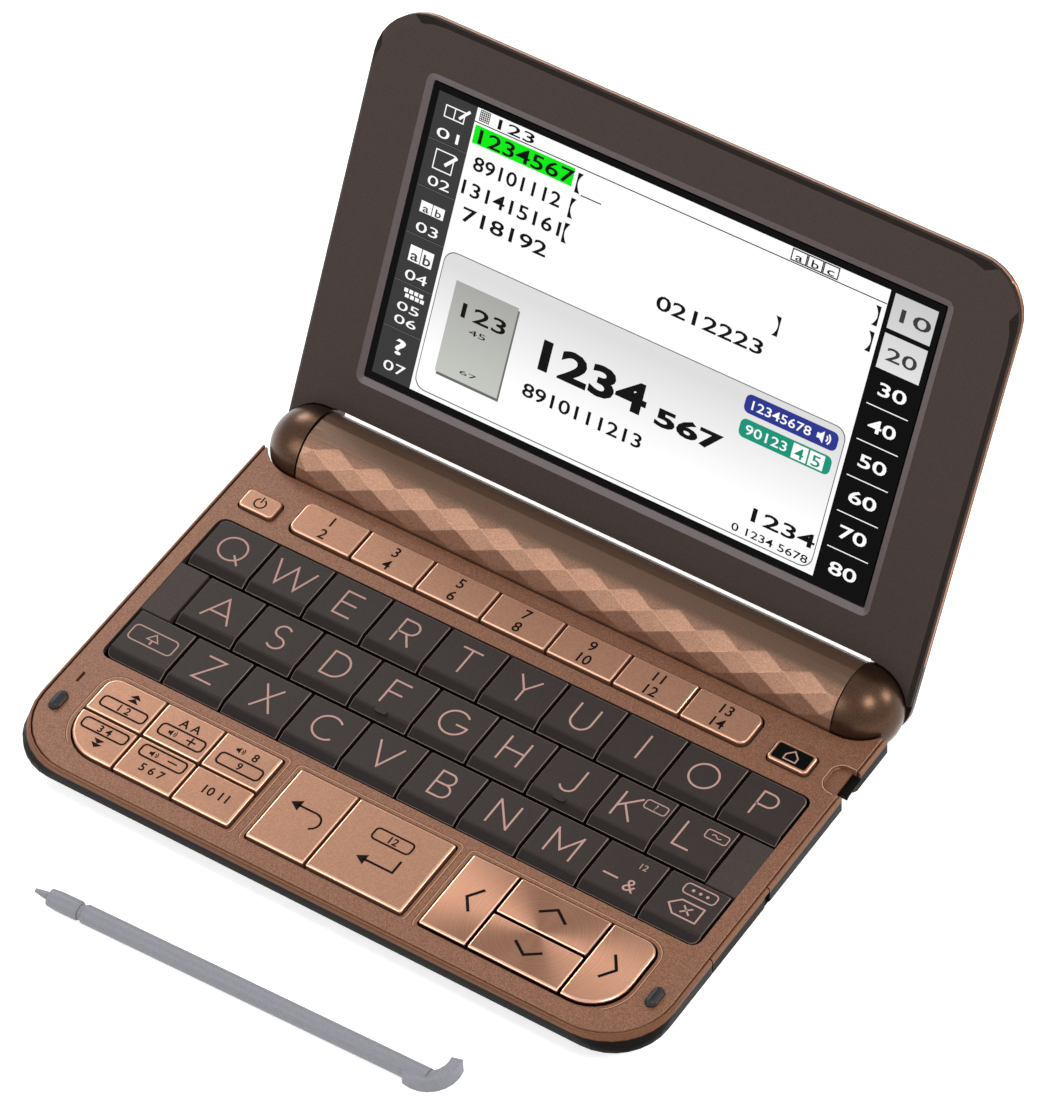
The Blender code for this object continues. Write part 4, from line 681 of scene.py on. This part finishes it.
def triangle(drawing, x, y, half, high):
    """A small arrowhead that points back, or to the front where its height is below zero."""
    plate(drawing, [(x - half, y), (x + half, y), (x, y + high)] if high > 0
          else [(x + half, y), (x - half, y), (x, y + high)])


drawing = bmesh.new()
capsule(drawing, -62.1, -51.6, 17.35, 20.0)
figures(drawing, "1 2", -56.85, 18.7, 1.8, bold=0.05)
triangle(drawing, -56.4, 21.0, 1.25, 1.1)
triangle(drawing, -56.4, 22.1, 1.25, 1.1)
finish_drawing(drawing, "legend_previous_entry", on_deck(COPPER_TOP), "previous_entry_key", [copper_ink])

drawing = bmesh.new()
capsule(drawing, -62.1, -51.6, 11.1, 13.7)
figures(drawing, "3 4", -56.85, 12.4, 1.8, bold=0.05)
triangle(drawing, -56.4, 10.0, 1.25, -1.1)
triangle(drawing, -56.4, 8.9, 1.25, -1.1)
finish_drawing(drawing, "legend_next_entry", on_deck(COPPER_TOP), "next_entry_key", [copper_ink])

drawing = bmesh.new()
capsule(drawing, -48.2, -37.8, 17.4, 20.3)
loudspeaker(drawing, -45.2, 18.85, 0.95)
bar(drawing, -41.9, -39.7, 18.7, 19.05)
bar(drawing, -40.98, -40.63, 17.8, 19.95)
figures(drawing, "A A", -43.0, 22.1, 2.1, bold=0.05)
finish_drawing(drawing, "legend_larger_text", on_deck(COPPER_TOP), "larger_text_key", [copper_ink])

drawing = bmesh.new()
capsule(drawing, -48.2, -37.8, 11.1, 14.0)
loudspeaker(drawing, -45.2, 12.55, 0.95)
bar(drawing, -41.9, -39.7, 12.4, 12.75)
figures(drawing, "5 6 7", -43.1, 8.9, 2.0, bold=0.05)
finish_drawing(drawing, "legend_history", on_deck(COPPER_TOP), "history_key", [copper_ink])

drawing = bmesh.new()
capsule(drawing, -34.2, -24.1, 17.4, 20.3)
figures(drawing, "9", -29.15, 18.85, 1.8, bold=0.05)
loudspeaker(drawing, -31.2, 22.2, 0.95)
figures(drawing, "8", -27.6, 22.2, 2.0, bold=0.05)
finish_drawing(drawing, "legend_speech_guide", on_deck(COPPER_TOP), "speech_guide_key", [copper_ink])

drawing = bmesh.new()
figures(drawing, "10 11", -29.1, 10.8, 2.2, bold=0.05)
finish_drawing(drawing, "legend_jump", on_deck(COPPER_TOP), "jump_key", [copper_ink])

drawing = bmesh.new()
stroke(drawing, [(-9.0, 13.0)] + arc(-9.6, 15.0, 2.0, 2.0, -60, 90, 8) + [(-14.0, 17.0)], 0.45)
plate(drawing, [(-13.4, 15.6), (-13.4, 18.4), (-15.6, 17.0)])
finish_drawing(drawing, "legend_back", on_deck(COPPER_TOP), "back_key", [copper_ink])

drawing = bmesh.new()
capsule(drawing, 2.4, 11.2, 17.7, 20.6)
figures(drawing, "12", 6.8, 19.15, 1.8, bold=0.05)
stroke(drawing, [(11.0, 15.8), (11.0, 12.6), (4.4, 12.6)], 0.5)
plate(drawing, [(4.8, 11.3), (4.8, 13.9), (2.6, 12.6)])
finish_drawing(drawing, "legend_enter", on_deck(COPPER_TOP), "enter_key", [copper_ink])

# cursor keys: chevrons that point outwards
for name, points in (("left", [(28.6, 18.5), (26.4, 15.45), (28.6, 12.45)]),
                     ("up", [(40.1, 19.6), (43.1, 21.8), (46.2, 19.6)]),
                     ("down", [(40.1, 11.5), (43.3, 9.35), (46.3, 11.5)]),
                     ("right", [(58.2, 18.6), (60.4, 15.5), (58.2, 12.45)])):
    drawing = bmesh.new()
    stroke(drawing, points, 0.62)
    finish_drawing(drawing, f"legend_cursor_{name}", on_deck(COPPER_TOP), f"cursor_{name}_key", [arrow_ink])

# function keys: one number over another
for index in range(7):
    name = f"function_key_{index + 1}"
    middle, _ = key_place(name)
    drawing = bmesh.new()
    for number, y in ((2 * index + 1, 80.75), (2 * index + 2, 77.15)):
        figures(drawing, f"{number}", middle - 0.2, y, 2.6, bold=0.04)
    finish_drawing(drawing, f"legend_function_{index + 1}", on_deck(COPPER_TOP), name, [copper_ink])

# power: an open ring with a stroke
drawing = bmesh.new()
stroke(drawing, arc(-64.9, 77.2, 1.25, 1.25, 115, 425, 16), 0.34)
stroke(drawing, [(-64.9, 77.4), (-64.9, 79.0)], 0.34)
finish_drawing(drawing, "legend_power", on_deck(COPPER_TOP), "power_key", [copper_ink])

# home: a house on a black plate
drawing = bmesh.new()
plate(drawing, rounded(57.15, 64.95, 75.55, 79.45, 0.5), thickness=0.04)
stroke(drawing, [(59.7, 76.2), (59.7, 77.4), (61.05, 78.75), (62.4, 77.4), (62.4, 76.2)], 0.3, closed=True,
       level=0.04, finish=1)
finish_drawing(drawing, "home_key_plate", on_deck(COPPER_TOP), "home_key", [home_black, key_ink])


# Details of the deck

# oval rubber bumpers beside the copper keys, rounded on top
BUMPER_ACROSS, BUMPER_BACK = 69.7, 14.4
BUMPER_HALF_WIDTH, BUMPER_HALF_LENGTH, BUMPER_HEIGHT = 1.28, 2.53, 1.28
for side, name in ((-1, "left"), (1, "right")):
    middle = side * BUMPER_ACROSS
    outline = rounded(middle - BUMPER_HALF_WIDTH, middle + BUMPER_HALF_WIDTH,
                      BUMPER_BACK - BUMPER_HALF_LENGTH, BUMPER_BACK + BUMPER_HALF_LENGTH,
                      BUMPER_HALF_WIDTH * 0.999, 8)
    bm = bmesh.new()
    bm.faces.new([bm.verts.new((x * MM, y * MM, 0.0)) for x, y in outline])
    raise_rounded(bm, BUMPER_HEIGHT, BUMPER_HALF_WIDTH * 0.8, 5)
    finish_drawing(bm, f"bumper_{name}", on_deck(DECK_TOP - 0.2), "base", [bumper_rubber], smooth=True)

# tops of the blank fillers at the ends of the middle row
for name, x0, x1 in (("left", -69.95, -63.15), ("right", 63.15, 69.95)):
    drawing = bmesh.new()
    plate(drawing, rounded(x0, x1, 42.8, 56.7, 0.25, 2), thickness=0.15)
    finish_drawing(drawing, f"filler_{name}", on_deck(DECK_TOP - 0.25), "base", [filler_plastic_and_gap_shade])

# engraved outlines a little outside the three groups of copper keys, each drawn as a flank of painted
# highlight and a flank of painted shade;
# a group's front corners have the radius given, its back corners a share of it
GROUP_FRONT, GROUP_BACK, BACK_SHARE = 5.1, 25.35, 0.4
for name, x0, x1, left, right in (("cluster", -64.45, -22.45, 8.9, 0.85), ("enter", -19.1, 18.1, 0.85, 0.85),
                                  ("cursor", 21.3, 65.1, 0.85, 8.9)):
    drawing = bmesh.new()
    for out, width, tone in ((0.75, 0.14, 1), (0.9, 0.16, 0)):
        back_left, back_right = left * BACK_SHARE + out, right * BACK_SHARE + out
        back = GROUP_BACK + out
        path = (arc(x0 + left, GROUP_FRONT + left, left + out, left + out, 228, 180, 8)
                + arc(x0 - out + back_left, back - back_left, back_left, back_left, 180, 90, 8)
                + arc(x1 + out - back_right, back - back_right, back_right, back_right, 90, 0, 8)
                + arc(x1 - right, GROUP_FRONT + right, right + out, right + out, 0, -48, 8))
        stroke(drawing, path, width, finish=tone, thickness=0.012)
    finish_drawing(drawing, f"engraving_{name}", on_deck(DECK_TOP), "base", [line_shadow, line_highlight])

# the same kind of line, with painted shade and painted highlight, round the scoop at the stylus silo's mouth
drawing = bmesh.new()
for out, tone in ((0.1, 0), (0.26, 1)):
    radius = 2.4 + out
    path = ([(73.1, 79.0 + radius)] + arc(71.4, 79.0, radius, radius, 90, 180, 8)
            + arc(71.4, 76.8, radius, radius, 180, 270, 8) + [(72.2, 76.8 - radius)])
    stroke(drawing, path, 0.15, finish=tone, thickness=0.012)
finish_drawing(drawing, "engraving_scoop", on_deck(DECK_TOP), "base", [line_shadow, line_highlight])

# raised nubs by which fingers find the home row
for letter in "fj":
    middle, _ = key_place(f"key_{letter}")
    drawing = bmesh.new()
    plate(drawing, rounded(middle - 1.35, middle + 1.35, 44.8, 45.83, 0.5), thickness=0.32)
    finish_drawing(drawing, f"nub_{letter}", on_deck(KEY_TOP), f"key_{letter}", [letter_plastic_painted_skirt_shade])


# Underside and edges

# heads of the case screws, each with its cross, a black strip of painted shade in place of the recess
SCREW_RADIUS, SCREW_RISE, CROSS_REACH, CROSS_WIDTH = 1.7, 0.45, 0.9, 0.32
for index, (x, y) in enumerate(((-46.0, 16.0), (46.0, 16.0), (-46.0, 80.0), (46.0, 80.0))):
    bm = bmesh.new()
    bmesh.ops.create_circle(bm, cap_ends=True, segments=24, radius=SCREW_RADIUS * MM)
    raise_rounded(bm, SCREW_RISE, 0.3, 3)
    place = on_underside() @ Matrix.Translation((x * MM, -y * MM, 0.0))
    finish_drawing(bm, f"case_screw_{index + 1}", place, "base", [screw_steel], smooth=True)
    drawing = bmesh.new()
    stroke(drawing, [(-CROSS_REACH, 0.0), (CROSS_REACH, 0.0)], CROSS_WIDTH, level=SCREW_RISE)
    stroke(drawing, [(0.0, -CROSS_REACH), (0.0, CROSS_REACH)], CROSS_WIDTH, level=SCREW_RISE, thickness=0.024)
    finish_drawing(drawing, f"case_screw_cross_{index + 1}", place, "base", [black_plastic_and_hole_shade])

# loudspeaker holes in rows, each row half a step aside from the last: black discs of painted shade in place
# of holes
drawing = bmesh.new()
for row in range(4):
    for column in range(6):
        plate(drawing, arc(-7.5 + 3.0 * column + 1.5 * (row % 2), -46.0 - 2.6 * row, 0.7, 0.7, 0, 330, 11))
finish_drawing(drawing, "loudspeaker_holes", on_underside(), "base", [black_plastic_and_hole_shade])

# springs on the floor of the card slot, behind the port cover
drawing = bmesh.new()
for index in range(8):
    middle = 37.05 + 1.2 * index
    bar(drawing, middle - 0.3, middle + 0.3, 6.6, 6.75)
    stroke(drawing, [(middle, 6.62), (middle, 6.8)], 0.6, thickness=-3.0)
finish_drawing(drawing, "card_contacts", on_side(71.6, 1), "base", [contact_gold])

# shell of the connector beside it, with its floor black as painted shade, and its black tongue
drawing = bmesh.new()
stroke(drawing, rounded(28.85, 33.55, 6.2, 7.8, 0.5), 0.16, closed=True, thickness=1.9)
bar(drawing, 29.0, 33.4, 6.35, 7.65, finish=1)
stroke(drawing, [(29.7, 7.0), (32.7, 7.0)], 0.42, level=0.02, finish=1, thickness=1.4)
finish_drawing(drawing, "connector_shell", on_side(70.3, 1), "base", [screw_steel, black_plastic_and_hole_shade])

# ring of the earphone jack in the left side
drawing = bmesh.new()
stroke(drawing, arc(-40.0, 6.7, 1.08, 1.08, 0, 345, 23), 0.24, closed=True, thickness=1.2)
finish_drawing(drawing, "jack_ring", on_side(-72.9, -1), "base", [contact_gold])


# Picture on the display

# in millimetres across from the lid's middle and up from the hinge axis, in layers that lie on each other
white, charcoal, black, lime, navy, teal, card, silver, rule, box = range(10)
display_finishes = [
    lit("display_white", "ffffff"), lit("display_charcoal", "383838"), lit("display_black", "060606"),
    lit("display_lime", "00ec0a"), lit("display_navy", "2b3590"), lit("display_teal", "159478"),
    lit("display_card", "dedede", "ffffff", 30.0, 49.0), lit("display_cover", "a9aaa6", "c6c8c2", 26.0, 46.0),
    lit("display_rule", "6a6a6a"), lit("display_box", "c9c9c9", "e3e3e3", 66.0, 82.0),
]
drawing = bmesh.new()


def line(points, width, finish=white, level=0.02, closed=False):
    """A line on the display."""
    stroke(drawing, points, width, closed, level, finish, 0.01)


def words(text, x, y, height, width, finish=black, level=0.04, bold=0.0):
    """Plain figures on the display, fitted to a width."""
    figures(drawing, text, x, y, height, width, level, finish, bold)


bar(drawing, -48.25, 47.05, 20.1, 82.35, 0.0, white)
bar(drawing, -57.4, -48.25, 20.1, 82.35, 0.0, charcoal)
for y in (72.35, 62.1, 51.7, 41.25, 31.05):
    line([(-57.3, y), (-48.3, y)], 0.12, black)
    line([(-57.3, y - 0.12), (-48.3, y - 0.12)], 0.12, rule)
# touch column on the left: pencils, pairs of boxes, a keyboard and a question mark
line([(-55.1, 77.7), (-55.1, 80.1), (-50.6, 80.1), (-50.6, 77.7)], 0.24, closed=True)
line([(-52.9, 77.7), (-52.9, 80.1)], 0.24)
line([(-51.7, 78.4), (-49.6, 80.7)], 0.6, level=0.04)
words("01", -52.7, 74.2, 2.2, 5.2, white, 0.02)
line([(-54.95, 66.5), (-54.95, 70.6), (-50.6, 70.6), (-50.6, 66.5)], 0.24, closed=True)
line([(-52.4, 67.9), (-50.0, 70.4)], 0.7, level=0.04)
words("02", -52.7, 63.9, 2.2, 5.2, white, 0.02)
for x, sign in ((-54.15, "a"), (-51.25, "b")):
    bar(drawing, x - 1.35, x + 1.35, 56.7, 59.1, 0.02, white)
    words(sign, x, 57.75, 1.7, 1.4, charcoal, bold=0.03)
    bar(drawing, x - 1.35, x + 1.35, 45.9, 49.3, 0.02, white)
    words(sign, x, 47.4, 2.3, 1.8, charcoal, bold=0.04)
for text, y, high in (("03", 53.6, 2.2), ("04", 43.1, 2.2), ("05", 36.1, 1.9), ("06", 33.2, 1.9),
                      ("07", 22.9, 2.2)):
    words(text, -52.7, y, high, 5.2, white, 0.02)
for row, shift in ((39.7, 0.0), (38.6, 0.45)):
    for column in range(4):
        x = -54.6 + shift + column * 1.2
        bar(drawing, x, x + 0.9, row - 0.4, row + 0.4, 0.02, white)
words("?", -52.6, 27.6, 3.4, 2.4, white, 0.02, 0.08)
# title bar: a chequered square, a title, and three boxes for the kind of writing
for i in range(6):
    offset = 0.44 * i
    line([(-47.35 + offset, 79.85), (-47.35 + offset, 82.1)], 0.17, black)
    line([(-47.4, 79.9 + offset), (-45.05, 79.9 + offset)], 0.17, black, 0.032)
words("123", -39.2, 80.9, 2.2, 8.5, bold=0.03)
line([(-48.25, 79.35), (47.0, 79.35)], 0.22, black)
for i, sign in enumerate("abc"):
    x = 25.1 + 3.6 * i
    line([(x, 79.75), (x, 82.1), (x + 3.3, 82.1), (x + 3.3, 79.75)], 0.26, black, 0.03, True)
    words(sign, x + 1.65, 80.8, 1.6, 1.6, bold=0.02)
# search rows, the first one highlighted, each with lens-shaped brackets
bar(drawing, -47.8, -24.3, 74.9, 78.8, 0.02, lime)
for text, x, width, y in (("1234567", -36.0, 22.4, 76.8), ("89101112", -36.0, 20.5, 71.2),
                          ("131415161", -35.9, 23.2, 65.6), ("718192", -36.1, 20.0, 60.2),
                          ("0212223", 12.2, 24.5, 60.1)):
    words(text, x, y, 3.1, width, bold=0.05)
for x, y, side in ((-22.9, 76.2, 1), (-23.1, 70.7, 1), (-23.1, 65.3, 1), (26.0, 65.6, -1), (45.6, 76.2, -1),
                   (45.6, 70.7, -1)):
    inner = [(x + side * (0.75 - 0.9 * (1 - (step / 6) ** 2)), y - 2.1 * step / 6) for step in range(-6, 7)]
    shape = [(x - side * 0.5, y - 2.1), (x - side * 0.5, y + 2.1)] + inner
    plate(drawing, shape if side > 0 else shape[::-1], 0.02, black)
line([(-21.8, 74.0), (-17.0, 74.0)], 0.25, black)
# card with a book and its title
plate(drawing, rounded(-47.6, 46.2, 20.9, 51.7, 2.6), 0.02, rule)
plate(drawing, rounded(-47.4, 46.0, 21.15, 51.5, 2.5), 0.04, card)
bar(drawing, -43.3, -28.4, 25.6, 45.7, 0.06, rule)
bar(drawing, -43.7, -28.8, 26.2, 46.3, 0.08, silver)
words("123", -36.3, 41.0, 3.2, 10.5, level=0.1, bold=0.05)
words("45", -36.3, 37.2, 1.2, 4.0, level=0.1)
words("67", -36.3, 28.3, 0.9, 4.0, level=0.1)
words("1234", -10.4, 39.4, 6.4, 25.0, level=0.06, bold=0.28)
words("567", 13.2, 37.6, 3.6, 15.5, level=0.06, bold=0.18)
words("8910111213", -9.6, 30.8, 3.0, 28.0, level=0.06, bold=0.05)
words("1234", 37.8, 26.8, 3.0, 14.5, level=0.06, bold=0.06)
words("0 1234 5678", 36.4, 22.7, 1.7, 17.5, level=0.06, bold=0.02)
plate(drawing, rounded(23.6, 44.8, 46.2, 50.2, 1.3), 0.06, navy)
plate(drawing, rounded(23.8, 44.7, 41.0, 45.0, 1.3), 0.06, teal)
words("12345678", 31.7, 48.2, 2.0, 13.5, white, 0.08, 0.02)
loudspeaker(drawing, 41.6, 48.2, 1.5, white, 0.08)
words("90123", 30.0, 43.0, 2.1, 9.5, white, 0.08, 0.02)
for x, sign in ((37.6, "4"), (41.4, "5")):
    bar(drawing, x - 1.7, x + 1.7, 41.4, 44.6, 0.08, white)
    words(sign, x, 42.9, 2.4, 2.0, teal, 0.1, 0.03)
# touch column on the right: two lit boxes and six black ones
for low, sign in ((74.8, "10"), (66.4, "20")):
    bar(drawing, 48.15, 57.75, low, low + 7.4, 0.0, box)
    words(sign, 52.95, low + 3.6, 2.8, 6.8, charcoal, 0.02, 0.04)
for y in (58.7, 50.95, 43.1, 35.3, 27.5):
    line([(48.3, y), (57.6, y)], 0.2, white, 0.0)
for index, y in enumerate((62.6, 54.9, 47.1, 39.3, 31.5, 23.6)):
    words(f"{3 + index}0", 52.95, y, 2.8, 6.2, white, 0.0, 0.05)
# a little off the lid's middle, and just above the glass
place = on_lid(GLASS_SETBACK) @ Matrix.Translation(Vector((-0.15, 0.05, 0.01)) * MM)
finish_drawing(drawing, "display_picture", place, "lid", display_finishes)


# Camera, light and floor

# fitted to straight edges of the photograph: lengths in its pixels, angles in radians, place in metres
PHOTO_WIDTH, PHOTO_HEIGHT = 1037.0, 1115.0
FOCAL_LENGTH, CENTRE_X, CENTRE_Y = 6685.7552, 507.334768, 564.9894
azimuth, elevation, roll = 0.628026984, 0.853547252, -0.058279709
viewpoint = (0.50177, -0.68144, 1.01609)
SENSOR = 36.0

camera = bpy.data.cameras.new("camera")
camera.sensor_width = SENSOR
camera.lens = FOCAL_LENGTH * SENSOR / PHOTO_HEIGHT
camera.shift_x = (PHOTO_WIDTH / 2 - CENTRE_X) / PHOTO_HEIGHT
camera.shift_y = (CENTRE_Y - PHOTO_HEIGHT / 2) / PHOTO_HEIGHT
camera.clip_start = 0.05
level_part = math.cos(elevation)
backward = Vector((math.sin(azimuth) * level_part, -math.cos(azimuth) * level_part, math.sin(elevation)))
rightward = UP.cross(backward).normalized()
upward = backward.cross(rightward)
right_rolled = math.cos(roll) * rightward + math.sin(roll) * upward
up_rolled = math.cos(roll) * upward - math.sin(roll) * rightward
viewer = bpy.data.objects.new("camera", camera)
turn = Matrix((right_rolled, up_rolled, backward)).transposed().to_4x4()
viewer.matrix_world = Matrix.Translation(viewpoint) @ turn
bpy.context.scene.collection.objects.link(viewer)
bpy.context.scene.camera = viewer


def lamp(name, place, target, size, power):
    """A square soft box aimed at a point."""
    light = bpy.data.lights.new(name, "AREA")
    light.size = size
    light.energy = power
    holder = bpy.data.objects.new(name, light)
    holder.location = place
    holder.rotation_euler = (Vector(place) - Vector(target)).to_track_quat("Z", "Y").to_euler()
    bpy.context.scene.collection.objects.link(holder)


lamp("front_left_light", (-0.55, -0.85, 0.7), (0, 0, 0.02), 0.6, 6.1)
lamp("right_light", (0.69, -0.19, 0.96), (0, 0, 0.02), 0.32, 7.0)
lamp("back_left_light", (-0.85, 0.6, 0.66), (0, 0, 0.0), 0.36, 6.0)
lamp("back_right_light", (0.9, 0.68, 0.52), (0, 0, 0.02), 0.3, 5.0)


def seen_as_white(tree):
    """1 for the rays by which the camera, metal and glass see the backdrop, 0 for those that light."""
    path = add(tree, "ShaderNodeLightPath").outputs
    seen = path["Is Camera Ray"]
    for kind in ("Is Glossy Ray", "Is Transmission Ray"):
        seen = add(tree, "ShaderNodeMath", {0: seen, 1: path[kind]}, operation="MAXIMUM").outputs["Value"]
    return seen


# white where it is seen, and an even soft light on the object
SKY_LIGHT, PAPER_GLOW = 0.45, 0.55
world = bpy.data.worlds.new("studio")
bpy.context.scene.world = world
world.use_nodes = True
tree = world.node_tree
tree.nodes.clear()
level = add(tree, "ShaderNodeMapRange", {"Value": seen_as_white(tree), "To Min": SKY_LIGHT, "To Max": 1.0})
sky = add(tree, "ShaderNodeBackground", {"Color": (1.0, 1.0, 1.0, 1.0), "Strength": level.outputs["Result"]})
out = add(tree, "ShaderNodeOutputWorld")
tree.links.new(sky.outputs["Background"], out.inputs["Surface"])

# floor just under the feet, in metres
FLOOR_REACH, FLOOR_GAP = 3.0, 0.0002
bm = bmesh.new()
bmesh.ops.create_grid(bm, x_segments=1, y_segments=1, size=FLOOR_REACH)
bmesh.ops.translate(bm, verts=bm.verts[:], vec=(0.0, 0.0, -FLOOR_GAP))
mesh = bpy.data.meshes.new("floor")
bm.to_mesh(mesh)
bm.free()
floor = bpy.data.objects.new("floor", mesh)
bpy.context.scene.collection.objects.link(floor)
# matt white paper with a faint cloudiness
paper, tree, shader, _, clouds = start_material("white_floor", 4.0, Roughness=0.9)
tint = add(tree, "ShaderNodeValToRGB", {"Fac": clouds}, ((0.3, linear("f6f6f6")), (0.7, linear("fafafa"))))
tree.links.new(tint.outputs["Color"], shader.inputs["Base Color"])
# the camera sees the paper lit from below as well, as on a light table, which leaves soft shadows
tree.links.new(tint.outputs["Color"], shader.inputs["Emission Color"])
glow = add(tree, "ShaderNodeMath", {0: seen_as_white(tree), 1: PAPER_GLOW}, operation="MULTIPLY")
tree.links.new(glow.outputs["Value"], shader.inputs["Emission Strength"])
mesh.materials.append(paper)

bpy.context.scene.view_settings.view_transform = "Standard"
